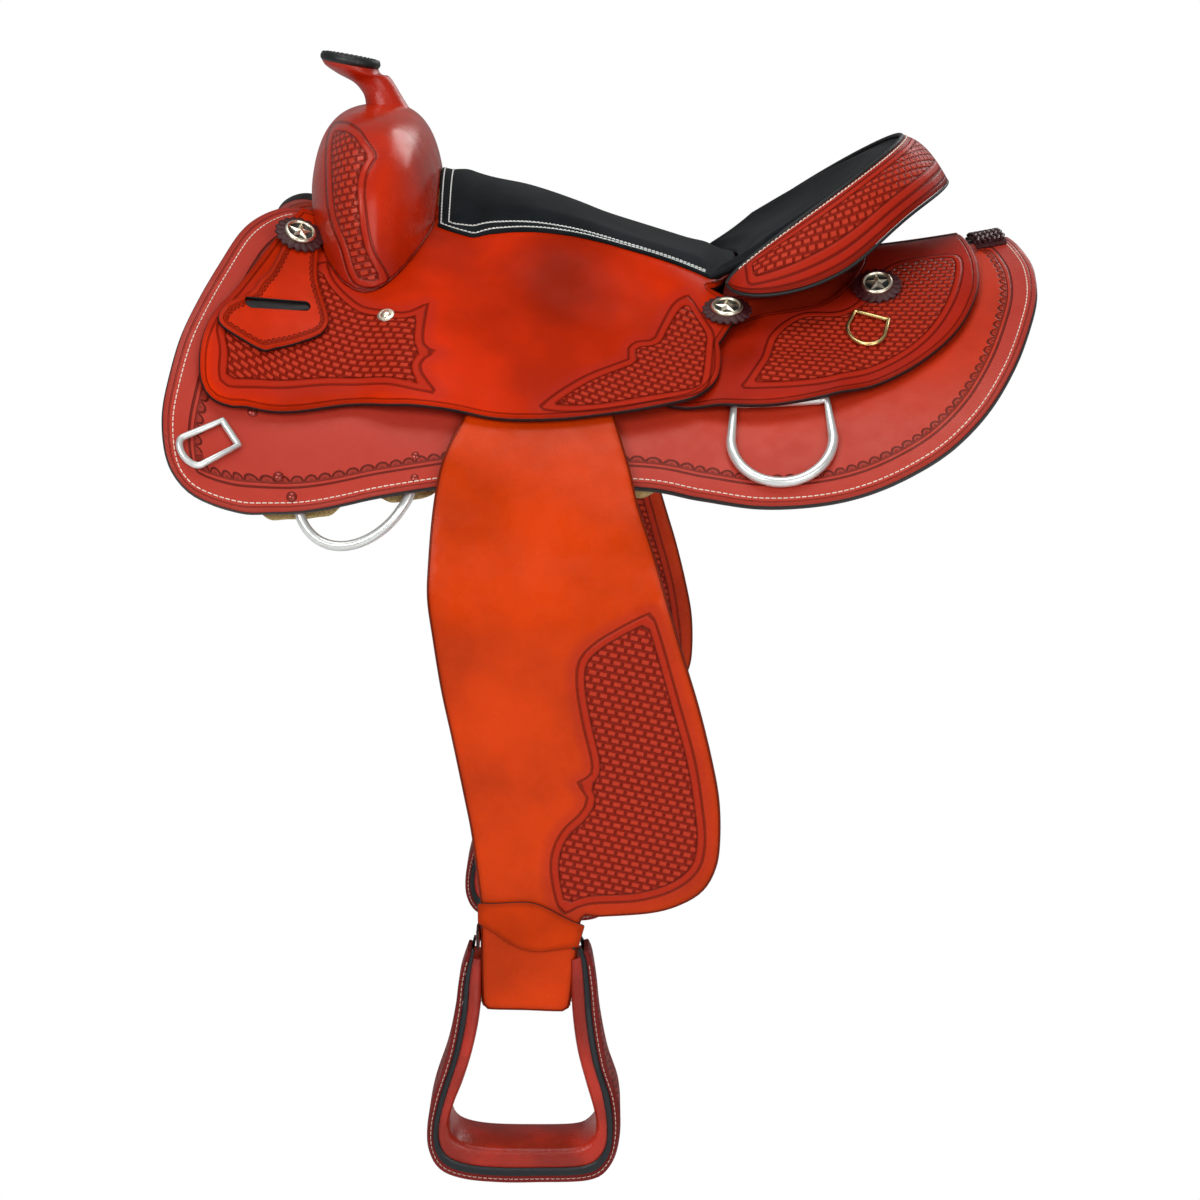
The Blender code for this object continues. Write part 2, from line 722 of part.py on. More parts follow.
def bar_top(x):
    """The bars are full height under the fork, lower under the seat and lowest behind it."""
    under_seat = ease((x - BAR_SEAT_STEP_X) / BAR_STEP_LENGTH)
    behind = ease((x - BAR_REAR_STEP_X) / (2 * BAR_STEP_LENGTH))
    return BAR_TOP - BAR_SEAT_STEP * under_seat - BAR_REAR_STEP * behind


def make_bars():
    """The two wooden bars of the tree, which lie on the skirts under the seat."""
    loop = spline(BAR_OUTLINE, 0.040)
    for side, sign in SIDES:
        slab(f"tree_bar_{side}", mirrored(loop, sign), lambda x, d: layer(x, d, BAR_UNDER),
             lambda x, d: layer(x, d, bar_top(x)), "wood")


def dome_scale(z):
    """Give the share of the swell's full plan at a height."""
    if z <= SWELL_SHOULDER_Z:
        return 1.0
    share = (z - SWELL_SHOULDER_Z) / (SWELL_TOP_Z - SWELL_SHOULDER_Z)
    return max(0.0, 1 - min(1.0, share) ** SWELL_ROUND) ** (1 / SWELL_ROUND)


def make_dome(name, inset, material="wood"):
    """Make the swell's round body, smaller by an inset: rings of one plan up to a top point."""
    around, levels = 28, 9
    points, faces = [], []
    for k in range(levels):
        turn = math.sin(k / (levels - 1) * math.pi / 2) if k else 0.0
        height = SWELL_SHOULDER_Z + (SWELL_TOP_Z - SWELL_SHOULDER_Z) * turn * 0.999
        scale = dome_scale(height) if k else 1.0
        z = height - inset * turn if k else SWELL_LOWEST_Z
        for i in range(around):
            angle = 2 * math.pi * i / around
            c, s = math.cos(angle), math.sin(angle)
            radius = (abs(c) ** SWELL_SQUARE + abs(s) ** SWELL_SQUARE) ** (-1 / SWELL_SQUARE)
            points.append((SWELL_X + c * radius * (SWELL_HALF_LENGTH * scale - inset * scale),
                           s * radius * (SWELL_HALF_WIDTH * scale - inset * scale), z))
    for k in range(levels - 1):
        for i in range(around):
            a, b = k * around + i, k * around + (i + 1) % around
            faces.append((a, b, b + around, a + around))
    faces.append(tuple(reversed(range(around))))
    faces.append(tuple((levels - 1) * around + i for i in range(around)))
    made = add_object(name, mesh_of(name, points, faces), material)
    turn_outward(made)
    return made


def make_under_cutter(name, surface, lowest=-0.40):
    """Make a cutter that takes away all that lies below a surface over the back."""
    columns, rows = 26, 32

    def top(u, v):
        return surface(-0.31 + 0.58 * u, (v - 0.5) * 2 * 0.24)

    def bottom(u, v):
        place = top(u, v)
        return Vector((place.x, place.y, lowest))

    made = grid_solid(name, bottom, top, columns, rows, None)
    as_cutter(made)
    return made


def make_swell(leather_form):
    """The wooden fork, the leather swell cover over it, and the horn on top."""
    leather_gap = JOCKEY_THICK + ON_LEATHER_GAP
    on_leather = make_under_cutter(
        "under_swell", lambda x, d: seat_leather(x, d, leather_gap))
    on_bars = make_under_cutter(
        "under_fork", lambda x, d: layer(x, d, BAR_TOP + LAYER_GAP))
    gullet = tube("gullet", [(-0.32, 0, 0), (-0.06, 0, 0)], 1.0, None, closed=False, resolution=6,
                  collection=CUTTERS)
    gullet = to_mesh_object(gullet)
    gullet.data.transform(Matrix.Diagonal((1, GULLET_HALF_WIDTH, GULLET_TOP_Z, 1)))
    fork = make_dome("tree_fork", SWELL_THICK + TOUCH_GAP)
    cut(fork, on_bars)
    cut(fork, gullet)
    cover = make_dome("swell_cover", 0.0, material="saddle_leather")
    inner = make_dome("swell_inner", SWELL_THICK)
    as_cutter(inner)
    cut(cover, inner)
    cut(cover, on_leather)
    cut(cover, leather_form)
    cut(cover, gullet)
    smooth_shade(cover)
    tilt = Matrix.Rotation(math.radians(HORN_TILT), 4, "Y")
    seat_of_cap = Vector(HORN_CAP_CENTRE)
    up = tilt @ Vector((0, 0, 1))
    under_cap = seat_of_cap - up * TOUCH_GAP
    rings = [((-0.181, 0, 0.138), 0, 0.0300), ((-0.184, 0, 0.154), -15, 0.0235),
             ((-0.189, 0, 0.164), -25, 0.0170), ((-0.1955, 0, 0.1735), -28, 0.0135),
             ((-0.2035, 0, 0.1835), -12, 0.0145), ((-0.2110, 0, 0.1880), 6, 0.0190),
             (under_cap, HORN_TILT, HORN_CAP_RADIUS - 0.002)]
    neck = ring_loft("horn", rings, 18, "saddle_leather")
    outer = make_dome("swell_clearance", -TOUCH_GAP)
    as_cutter(outer)
    cut(neck, outer)
    smooth_shade(neck, 60)
    cap = turned("horn_cap", [(0.0, HORN_CAP_THICK), (0.014, HORN_CAP_THICK - 0.0005),
                              (HORN_CAP_RADIUS - 0.003, HORN_CAP_THICK - 0.0022),
                              (HORN_CAP_RADIUS, 0.0035), (HORN_CAP_RADIUS - 0.0015, 0.0),
                              (0.0, 0.0)], "black_leather", SADDLE, 24)
    cap.matrix_world = Matrix.Translation(seat_of_cap) @ tilt


def ring_loft(name, rings, around, material):
    """Make a closed form through rings, each with its centre, its lean and its radius."""
    points, faces = [], []
    for centre, lean, radius in rings:
        turn = Matrix.Rotation(math.radians(lean), 3, "Y")
        for i in range(around):
            angle = 2 * math.pi * i / around
            spoke = turn @ Vector((math.cos(angle), math.sin(angle), 0))
            points.append(Vector(centre) + spoke * radius)
    for k in range(len(rings) - 1):
        for i in range(around):
            a, b = k * around + i, k * around + (i + 1) % around
            faces.append((a, b, b + around, a + around))
    faces.append(tuple(reversed(range(around))))
    faces.append(tuple((len(rings) - 1) * around + i for i in range(around)))
    made = add_object(name, mesh_of(name, points, faces), material)
    turn_outward(made)
    return made


def turned(name, profile, material, collection, steps):
    """Turn a profile about the upright axis; the profile runs down its outer side."""
    mesh = bpy.data.meshes.new(name)
    points = [(r, 0.0, z) for r, z in profile]
    mesh.from_pydata(points, [(i, i + 1) for i in range(len(points) - 1)], [])
    made = bpy.data.objects.new(name, mesh)
    collection.objects.link(made)
    lathe = made.modifiers.new("turn", "SCREW")
    lathe.steps = steps
    lathe.render_steps = steps
    lathe.use_merge_vertices = True
    lathe.merge_threshold = 1e-5
    lathe.use_smooth_shade = True
    if material:
        mesh.materials.append(MATERIALS[material])
    return made


def rim(angle):
    """Give the cantle's upper edge, from its near end round the back to its far end."""
    c = max(0.0, math.cos(angle))
    return Vector((CANTLE_END_X + CANTLE_DEPTH * c, CANTLE_HALF * math.sin(angle),
                   CANTLE_END_Z + CANTLE_RISE * c**0.9))


def crease(angle):
    """Give where the cantle's face meets the seat."""
    x = CREASE_X + CREASE_DEPTH * math.cos(angle)
    half = CREASE_HALF * math.sin(angle)
    return Vector((x, half, seat_height(x, abs(half), JOCKEY_THICK) + ON_LEATHER_GAP))


def cantle_face(u, v, out=0.0):
    """Give a point on the hollow front of the cantle, u across and v up it."""
    angle = math.radians(CANTLE_SPAN * (2 * u - 1))
    low, high = crease(angle), rim(angle)
    point = low.lerp(high, v)
    hollow = CANTLE_HOLLOW * math.sin(math.pi * v) * max(0.0, math.cos(angle))
    turn = 0.01
    across = (crease(angle + turn) - crease(angle - turn)).lerp(
        rim(angle + turn) - rim(angle - turn), v)
    normal = across.cross(high - low).normalized()
    normal = normal if normal.z > 0 else -normal
    return point + normal * (out - hollow)


def edge_share(u, length, roll):
    """Go from 0 at both ends of a length to 1 inside its rolled edges."""
    return min(ease(u * length / roll), ease((1 - u) * length / roll))


def make_seat_pads(leather_form):
    """The suede seat pad and the suede face of the cantle, each drawn in along its edges."""
    def seat_place(u, v, above):
        across = (v - 0.5) * 2
        share = across * station(SEAT_PAD_END_X, 3) / CREASE_HALF
        rear = CREASE_X + CREASE_DEPTH * math.sqrt(max(0.0, 1 - share**2))
        x = SEAT_FRONT_X + (rear - 0.0035 - SEAT_FRONT_X) * u
        half = across * (station(x, 3) - 0.0005)
        return Vector((x, half, seat_height(x, abs(half), JOCKEY_THICK) + SEAT_GAP + above))

    def seat_top(u, v):
        share = edge_share(u, 0.24, PAD_ROLL) * edge_share(v, 0.20, PAD_ROLL)
        crown = 0.0015 * math.sin(math.pi * u)
        return seat_place(u, v, PAD_EDGE_THICK - 0.001 + (PAD_THICK - PAD_EDGE_THICK + crown) * share)

    pad = grid_solid("seat_pad", lambda u, v: seat_place(u, v, -PAD_THICK), seat_top, 15, 14,
                     "black_suede")
    cut(pad, leather_form)

    def cantle_top(u, v):
        share = edge_share(u, 0.42, 0.025) * edge_share(v, 0.13, PAD_ROLL)
        return cantle_face(u, v, 0.0028 + 0.0065 * share)

    grid_solid("cantle_pad", lambda u, v: cantle_face(u, v, TOUCH_GAP), cantle_top, 20, 6,
               "black_suede")


def make_cantle():
    """The wooden cantle and the leather roll along its back."""
    floor_lift = bar_top(CANTLE_END_X) + LAYER_GAP
    steps = 14
    rings = []
    for i in range(steps + 1):
        degrees = TREE_SPAN * (2 * i / steps - 1)
        angle = math.radians(degrees)
        u = (degrees / CANTLE_SPAN + 1) / 2
        out = Vector((math.cos(angle) / CANTLE_DEPTH, math.sin(angle) / CANTLE_HALF, 0)).normalized()
        face = [cantle_face(u, v, -ON_LEATHER_GAP) for v in (0.06, 0.28, 0.52, 0.76, 0.96)]
        behind = face[-1] + out * (CANTLE_WALL * 0.6) + Vector((0, 0, -0.009))
        foot = Vector((CANTLE_END_X + CANTLE_DEPTH * CANTLE_FOOT * math.cos(angle),
                       CANTLE_HALF * CANTLE_FOOT * math.sin(angle), 0))
        foot.z = layer_height(foot.x, abs(foot.y), floor_lift)
        front = crease(angle) + out * 0.004
        front.z = layer_height(front.x, abs(front.y), floor_lift)
        rings.append([front, *face, behind, foot])
    points = [tuple(p) for ring in rings for p in ring]
    size = len(rings[0])
    faces = [tuple(range(size)), tuple(reversed(range(steps * size, (steps + 1) * size)))]
    for i in range(steps):
        for k in range(size):
            a, b = i * size + k, i * size + (k + 1) % size
            faces.append((a, a + size, b + size, b))
    tree = add_object("tree_cantle", mesh_of("tree_cantle", points, faces), "wood")
    turn_outward(tree)

    def roll(u, v, lower):
        angle = math.radians(ROLL_END_ANGLE * (2 * u - 1))
        start = rim(angle)
        out = Vector((math.cos(angle) / CANTLE_DEPTH, math.sin(angle) / CANTLE_HALF, 0)).normalized()
        width = ROLL_WIDTH * (0.35 + 0.65 * ease((ROLL_END_ANGLE - abs(math.degrees(angle))) / 30))
        place = start + out * width * v
        place.z += 0.0048 - 0.013 * v - 0.024 * v * v * width / ROLL_WIDTH
        if lower:
            place -= out * 0.001 * v + Vector((0, 0, ROLL_THICK))
            place += out * (0.0040 * (1 - v))
        return place

    grid_solid("cantle_roll", lambda u, v: roll(u, v, True), lambda u, v: roll(u, v, False),
               24, 5, "saddle_leather")


def make_keeper():
    """The latigo keeper on the near front jockey, with its slot."""
    loop = spline(KEEPER_OUTLINE, 0.016)
    a, b = (Vector(p) * MM for p in KEEPER_SLOT)
    along = (b - a).normalized()
    half = KEEPER_SLOT_WIDTH / 2
    across = Vector((-along.y, along.x)) * half
    start = math.atan2(across.y, across.x)
    slot = []
    for centre, first in ((a, start), (b, start - math.pi)):
        for k in range(5):
            angle = first + math.pi * k / 4
            slot.append(centre + Vector((math.cos(angle), math.sin(angle))) * half)
    lift = REAR_JOCKEY_UNDER + JOCKEY_THICK + 2 * TOUCH_GAP
    sheet("latigo_keeper", loop, lambda x, d: layer(x, d, lift), KEEPER_THICK, "saddle_leather",
          holes=(slot,), step_x=0.022, step_down=0.020)


def star_holes(outer_radius):
    """Give the five openings between a star and the ring round it."""
    ring, tip, notch = outer_radius * 0.74, outer_radius * 0.68, outer_radius * 0.34
    holes = []
    for k in range(5):
        first = math.radians(90 + 72 * k)
        shape = ((8, tip), (20, ring), (36, ring), (52, ring), (64, tip), (36, notch))
        holes.append([(r * math.cos(first + math.radians(a)), r * math.sin(first + math.radians(a)))
                      for a, r in shape])
    return holes


def place_on(item, point, normal, turn=0.0):
    """Lay a flat piece on a surface with its top pointing up the slope."""
    z = normal.normalized()
    x = Vector((1, 0, 0)) - z * z.x
    x.normalize()
    y = z.cross(x)
    frame = Matrix((x, y, z)).transposed().to_4x4()
    item.matrix_world = Matrix.Translation(point) @ frame @ Matrix.Rotation(turn, 4, "Z")


def make_conchos():
    """Six star conchos, each on a scalloped leather rosette."""
    front_lift = REAR_JOCKEY_UNDER + JOCKEY_THICK + 2 * TOUCH_GAP + KEEPER_THICK
    rear_top = REAR_JOCKEY_TOP
    seat_gap = JOCKEY_THICK
    places = (("front", -0.258, 0.131, lambda x, d: layer(x, d, front_lift)),
              ("seat", 0.104, 0.139, lambda x, d: seat_leather(x, d, seat_gap)),
              ("rear", 0.235, 0.109, lambda x, d: layer(x, d, rear_top)))
    step = ROSETTE_RADIUS * 0.6
    for where, x, down, surface in places:
        for side, sign in SIDES:
            middle = surface(x, down * sign)
            normal = (surface(x + step, down * sign) - surface(x - step, down * sign)).cross(
                surface(x, (down + step) * sign) - surface(x, (down - step) * sign))
            normal = normal.normalized()
            normal = normal if normal.z > 0 else -normal
            lobes = 18
            loop = []
            for i in range(lobes * 2):
                radius = ROSETTE_RADIUS * (1.0 if i % 2 else 0.92)
                angle = math.pi * i / lobes
                loop.append((radius * math.cos(angle), radius * math.sin(angle)))
            rosette = flat_plate(f"rosette_{where}_{side}", [loop], ROSETTE_THICK, "dark_leather")
            reach = [surface(x + r * math.cos(t), sign * (down + r * math.sin(t)))
                     for r in (ROSETTE_RADIUS * 0.5, ROSETTE_RADIUS * 1.05)
                     for t in [math.pi * i / 6 for i in range(12)]]
            room = ROSETTE_GAP + max(0.0, max((place - middle).dot(normal) for place in reach))
            lift = room + ROSETTE_THICK / 2
            place_on(rosette, middle + normal * lift, normal)
            circle = [(CONCHO_RADIUS * math.cos(math.pi * i / 10),
                       CONCHO_RADIUS * math.sin(math.pi * i / 10)) for i in range(20)]
            concho = flat_plate(f"concho_{where}_{side}", [circle] + star_holes(CONCHO_RADIUS),
                                CONCHO_THICK, "silver")
            lift = room + ROSETTE_THICK + TOUCH_GAP + CONCHO_THICK / 2
            place_on(concho, middle + normal * lift, normal)


def ring_path(start, end, tip, rounds=8):
    """Give a D-shaped path: a straight bar, two sides and a round end, in flat distances."""
    a, b, far = Vector(start), Vector(end), Vector(tip)
    middle = (a + b) / 2
    along = (b - a) / 2
    reach = far - middle
    radius = along.length
    straight = max(0.0, 1 - radius / reach.length)
    points = [a.lerp(b, t) for t in (0.04, 0.27, 0.5, 0.73, 0.96)]
    for k in range(rounds + 1):
        angle = math.pi * k / rounds
        points.append(middle + reach * straight + along * math.cos(angle)
                      + reach.normalized() * min(radius, reach.length) * math.sin(angle))
    return points


def set_origin(item, point):
    """Put the origin of a moving piece on its joint without moving the piece."""
    item.data.transform(Matrix.Translation(-point))
    item.location = point


def bar_middle(bar, sign, lift):
    """Give the middle of a ring's straight bar."""
    first, last = (layer(x, down * sign, lift) for x, down in bar)
    return (first + last) / 2


def make_rings():
    """Rigging rings, breast-collar rings and string rings on both sides."""
    on_skirt = SKIRT_TOP + LAYER_GAP

    def hung(x, down, lift):
        if abs(down) <= SKIRT_EDGE_AT_RING:
            return layer(x, down, lift)
        start = layer(x, math.copysign(SKIRT_EDGE_AT_RING, down), lift)
        lower = abs(down) - SKIRT_EDGE_AT_RING
        return start + Vector((0, math.copysign(0.30, start.y) * lower, -0.95 * lower))

    for side, sign in SIDES:
        front = ring_path(*FRONT_BAR, FRONT_TIP, 10)
        tube(f"front_rigging_ring_{side}",
             [hung(p.x, p.y * sign, RING_LIFT) for p in front], RIGGING_WIRE, "steel")
        rear = ring_path(*RIGGING_BAR, RIGGING_TIP, 10)
        rear_lift_of_ring = on_skirt + RIGGING_WIRE
        made = tube(f"rear_rigging_ring_{side}",
                    [layer(p.x, p.y * sign, rear_lift_of_ring) for p in rear], RIGGING_WIRE, "steel")
        set_origin(made, bar_middle(RIGGING_BAR, sign, rear_lift_of_ring))
        collar = ring_path(*COLLAR_BAR, COLLAR_TIP, 8)
        collar_lift = on_skirt + COLLAR_WIRE + TOUCH_GAP
        made = tube(f"breast_collar_ring_{side}",
                    [layer(p.x, p.y * sign, collar_lift) for p in collar],
                    COLLAR_WIRE, "steel", resolution=1)
        set_origin(made, bar_middle(COLLAR_BAR, sign, collar_lift))
        string = ring_path(*STRING_BAR, STRING_TIP, 8)
        string_lift = REAR_JOCKEY_TOP + STRING_WIRE + ON_LEATHER_GAP
        made = tube(f"string_ring_{side}",
                    [layer(p.x, p.y * sign, string_lift) for p in string],
                    STRING_WIRE, "brass", resolution=1)
        set_origin(made, bar_middle(STRING_BAR, sign, string_lift))
        loop = spline(RIGGING_STRAP_OUTLINE, 0.030)
        sheet(f"rear_rigging_strap_{side}", mirrored(loop, sign),
              lambda x, d: layer(x, d, on_skirt), RIGGING_STRAP_THICK, "dark_leather",
              step_x=0.1, step_down=0.03)


def make_fenders():
    """Fenders, the stirrup leathers behind them, hobble straps and stirrup bolts."""
    outline = spline(FENDER_OUTLINE, 0.034)
    hobble = spline(HOBBLE_OUTLINE, 0.020)
    out, _ = hang_profile(NECK_MIDDLE, STRAP_UNDER)
    bolt_out = out - BOLT_GAP - BOLT_RADIUS
    turn = BOLT_RADIUS + BOLT_GAP
    for side, sign in SIDES:
        fender = sheet(f"fender_{side}", mirrored(outline, sign),
                       lambda x, d: hanging(x, d, FENDER_UNDER), FENDER_THICK, "fender_leather")
        first_row, last_row = round(STRAP_START / GRID_DOWN), round(STRAP_END / GRID_DOWN)
        path = [("front", row * GRID_DOWN) for row in range(first_row, last_row + 1)]
        path += [("turn", math.pi * i / 8) for i in range(9)]
        for height in (0.030, 0.060, 0.095):
            path.append(("back", height))
        points, faces = [], []
        columns = 2
        for kind, value in path:
            for k in range(columns + 1):
                x = NECK_X + NECK_HALF * (2 * k / columns - 1)
                if kind == "front":
                    place = hanging(x, value * sign, STRAP_UNDER)
                elif kind == "turn":
                    place = Vector((x, -sign * (bolt_out + turn * math.cos(value)),
                                    BOLT_Z - turn * math.sin(value)))
                else:
                    place = Vector((x, -sign * (bolt_out - turn), BOLT_Z + value))
                points.append(place)
        row = columns + 1
        for i in range(len(path) - 1):
            for k in range(columns):
                a = i * row + k
                quad = (a, a + 1, a + row + 1, a + row)
                faces.append(quad if sign < 0 else tuple(reversed(quad)))
        strap = add_object(f"stirrup_strap_{side}", mesh_of("strap", points, faces), "fender_leather")
        leather = strap.modifiers.new("thickness", "SOLIDIFY")
        leather.thickness = STIRRUP_LEATHER_THICK
        leather.offset = 1.0
        smooth_shade(strap)
        bolt = tube(f"stirrup_bolt_{side}",
                    [(NECK_X + BOLT_HALF * t, -sign * bolt_out, BOLT_Z) for t in (-1, 1)],
                    BOLT_RADIUS, "steel", closed=False, resolution=4)
        bolt.data.splines[0].use_smooth = False
        face = sheet(f"hobble_strap_{side}", mirrored(hobble, sign),
                     lambda x, d: hanging(x, d, FENDER_TOP_FACE + TOUCH_GAP), STRAP_THICK,
                     "saddle_leather", step_x=0.05, step_down=0.03)
        band_top = BOLT_Z + BAND_TOP_ABOVE_BOLT
        band_bottom = band_top - BAND_HEIGHT
        front_y, _ = hang_profile(HOBBLE_MIDDLE, FENDER_TOP_FACE + TOUCH_GAP)
        back_y = bolt_out - turn - STIRRUP_LEATHER_THICK - TOUCH_GAP
        half_in = NECK_HALF + BAND_ROOM
        outer = box(f"hobble_band_{side}",
                    (NECK_X - half_in - STRAP_THICK, back_y - STRAP_THICK, band_bottom),
                    (NECK_X + half_in + STRAP_THICK, front_y + STRAP_THICK * 0.8, band_top), sign)
        inner = box(f"hobble_room_{side}", (NECK_X - half_in, back_y, band_bottom - 0.01),
                    (NECK_X + half_in, front_y, band_top + 0.01), sign)
        cut(outer, inner)
        cut(face, outer, "UNION")
        pivot = layer(HANG_X, FENDER_PIVOT * sign, FENDER_UNDER)
        for piece in (fender, strap, face, bolt):
            set_origin(piece, pivot)


def box(name, low, high, sign):
    """Make a cutter box; low and high are given as distances out on either side."""
    work = bmesh.new()
    bmesh.ops.create_cube(work, size=1.0)
    mesh = bpy.data.meshes.new(name)
    work.to_mesh(mesh)
    work.free()
    size = Vector(high) - Vector(low)
    middle = (Vector(high) + Vector(low)) / 2
    middle.y *= -sign
    mesh.transform(Matrix.Translation(middle) @ Matrix.Diagonal((*size, 1)))
    return add_object(name, mesh, None, CUTTERS)


def make_stirrups():
    """Bell stirrups: a bent body that widens to the tread, with a seam flange round its face."""
    out, _ = hang_profile(NECK_MIDDLE, STRAP_UNDER)
    centre_out = out - BOLT_GAP - BOLT_RADIUS
    for side, sign in SIDES:
        sections = []
        for z, inner, outer in STIRRUP_LEG:
            share = (z - STIRRUP_LEG[0][0]) / (TREAD_TOP_Z - STIRRUP_LEG[0][0])
            depth = STIRRUP_DEPTH_TOP + (STIRRUP_DEPTH_TREAD - STIRRUP_DEPTH_TOP) * share
            inner = max(inner, NECK_HALF + STIRRUP_SIDE_GAP)
            sections.append(((inner, z), (outer, z - 0.002), depth))
        bottom = TREAD_TOP_Z - TREAD_THICK
        sections.append(((0.0625, -0.650), (0.0800, -0.660), STIRRUP_DEPTH_TREAD * 0.98))
        sections.append(((0.0585, TREAD_TOP_Z + 0.002), (0.0715, bottom + 0.006), STIRRUP_DEPTH_TREAD))
        sections.append(((0.0460, TREAD_TOP_Z), (0.0500, bottom), STIRRUP_DEPTH_TREAD))
        sections.append(((0.0, TREAD_TOP_Z), (0.0, bottom), STIRRUP_DEPTH_TREAD))
        full = [((-i[0], i[1]), (-o[0], o[1]), d) for i, o, d in sections]
        full += [((i[0], i[1]), (o[0], o[1]), d) for i, o, d in reversed(sections[:-1])]
        points, faces = [], []
        for (ix, iz), (ox, oz), depth in full:
            half = depth / 2
            a, b = Vector((ix, 0, iz)), Vector((ox, 0, oz))
            for along, y in ((0.0, -half * 0.86), (0.12, -half), (0.88, -half), (1.0, -half * 0.86),
                             (1.0, half * 0.86), (0.88, half), (0.12, half), (0.0, half * 0.86)):
                place = a.lerp(b, along)
                points.append((NECK_X + place.x, -sign * centre_out + y, place.z))
        size = 8
        for i in range(len(full) - 1):
            for k in range(size):
                a, b = i * size + k, i * size + (k + 1) % size
                faces.append((a, b, b + size, a + size))
        faces.append(tuple(reversed(range(size))))
        faces.append(tuple((len(full) - 1) * size + k for k in range(size)))
        body = add_object(f"stirrup_{side}", mesh_of("stirrup", points, faces), "stirrup_leather")
        turn_outward(body)
        smooth_shade(body, 50)
        way = [(NECK_X + STIRRUP_HALF_WIDTH * t, -sign * centre_out, BOLT_Z) for t in (-1, 1)]
        drill = tube(f"bolt_hole_{side}", way, BOLT_RADIUS + BOLT_GAP, None, closed=False,
                     resolution=4, collection=CUTTERS)
        drill = to_mesh_object(drill)
        cut(body, drill)
        set_origin(body, Vector((NECK_X, -sign * centre_out, BOLT_Z)))


def make_lacing():
    """The leather plate that laces the two skirts together behind the rear jockeys."""
    def top(u, v):
        return layer(LACING_X + LACING_LENGTH * u, (2 * v - 1) * LACING_HALF,
                     SKIRT_TOP + 2 * TOUCH_GAP + LACING_THICK)

    def under(u, v):
        return layer(LACING_X + LACING_LENGTH * u, (2 * v - 1) * LACING_HALF,
                     SKIRT_TOP + 2 * TOUCH_GAP)

    grid_solid("rear_lacing_plate", under, top, 2, 8, "dark_leather")


make_skirts()
make_jockeys()
make_bars()
form = make_leather_form()
make_swell(form)
make_seat_pads(form)
make_cantle()
make_keeper()
make_conchos()
make_rings()
make_fenders()
make_stirrups()
make_lacing()
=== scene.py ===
# %% [markdown]
# # A draft horse saddle, piece by piece
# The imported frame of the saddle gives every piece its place. This lesson puts real leather,
# suede, fleece and metal over it: each leather piece is cut as a flat outline and laid over
# the same horse's back that the frame was shaped on.

# %% Load the frame
import math
import bmesh
import bpy
import numpy as np
from mathutils import Matrix, Vector
from mathutils.geometry import delaunay_2d_cdt


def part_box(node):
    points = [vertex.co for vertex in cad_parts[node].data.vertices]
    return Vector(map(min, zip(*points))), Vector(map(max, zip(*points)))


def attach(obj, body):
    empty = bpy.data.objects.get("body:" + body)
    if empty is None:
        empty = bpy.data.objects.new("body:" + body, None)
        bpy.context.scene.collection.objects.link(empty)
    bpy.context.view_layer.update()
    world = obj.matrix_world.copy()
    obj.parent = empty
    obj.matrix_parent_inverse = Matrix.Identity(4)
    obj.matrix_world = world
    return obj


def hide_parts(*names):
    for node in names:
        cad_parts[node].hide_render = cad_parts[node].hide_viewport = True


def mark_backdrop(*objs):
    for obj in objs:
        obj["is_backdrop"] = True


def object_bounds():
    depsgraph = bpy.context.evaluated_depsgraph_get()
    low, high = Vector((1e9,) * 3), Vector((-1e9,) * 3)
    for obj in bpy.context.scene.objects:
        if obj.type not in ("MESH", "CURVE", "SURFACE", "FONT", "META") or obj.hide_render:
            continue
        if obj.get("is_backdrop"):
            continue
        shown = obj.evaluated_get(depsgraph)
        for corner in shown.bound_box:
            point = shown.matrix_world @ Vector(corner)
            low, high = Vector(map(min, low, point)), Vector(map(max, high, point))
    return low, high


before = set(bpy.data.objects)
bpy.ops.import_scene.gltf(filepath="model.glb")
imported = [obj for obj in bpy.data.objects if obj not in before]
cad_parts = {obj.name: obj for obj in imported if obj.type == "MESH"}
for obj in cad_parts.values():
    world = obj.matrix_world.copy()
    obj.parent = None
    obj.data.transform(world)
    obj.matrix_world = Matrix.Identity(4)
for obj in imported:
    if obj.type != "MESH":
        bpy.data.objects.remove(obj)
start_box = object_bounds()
print("frame pieces:", len(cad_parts))

# %% [markdown]
# ## The horse's back
# Leather can't be drawn well in the air, so every sheet is drawn flat: x runs along the saddle
# and d runs down around the horse from the spine, both in metres. Three formulas turn that flat
# drawing into a place on the back, on the raised seat, or on the fender that hangs beside it.
# A formula was chosen over sculpting because neighbouring layers then never cross.

# %% The back, the seat and the hanging fender as formulas
LIFT = {"skirt": 0.0204, "rear_jockey": 0.0294, "fender": 0.0317, "seat_low": 0.0249,
        "seat_high": 0.0343, "fleece": 0.012}
SEAT_THICK = 0.005
BARREL = 0.310                                     # radius of the horse across the back
LOW_AT, CROUP, WITHERS = 0.08, (0.022, 0.25), (0.094, 0.36)     # rise and length of each end
SIDE_DROP, SIDE_SLOPE, FRONT_SLOPE, SPINE_ROUND = 0.215, 0.18, 0.24, 0.04
HANG_FROM, HANG_STEP, HANG_BEND = 0.31, 0.002, 0.165            # where the fender leaves the skirt
SEAT = np.array([(-0.137, 0.113, 0.051, 0.070), (-0.10, 0.099, 0.057, 0.081),
                 (-0.06, 0.090, 0.061, 0.093), (-0.02, 0.076, 0.058, 0.104),
                 (0.02, 0.058, 0.049, 0.111), (0.06, 0.045, 0.037, 0.112),
                 (0.10, 0.039, 0.020, 0.106)])


def ease(t):
    t = np.clip(t, 0.0, 1.0)
    return t * t * (3 - 2 * t)


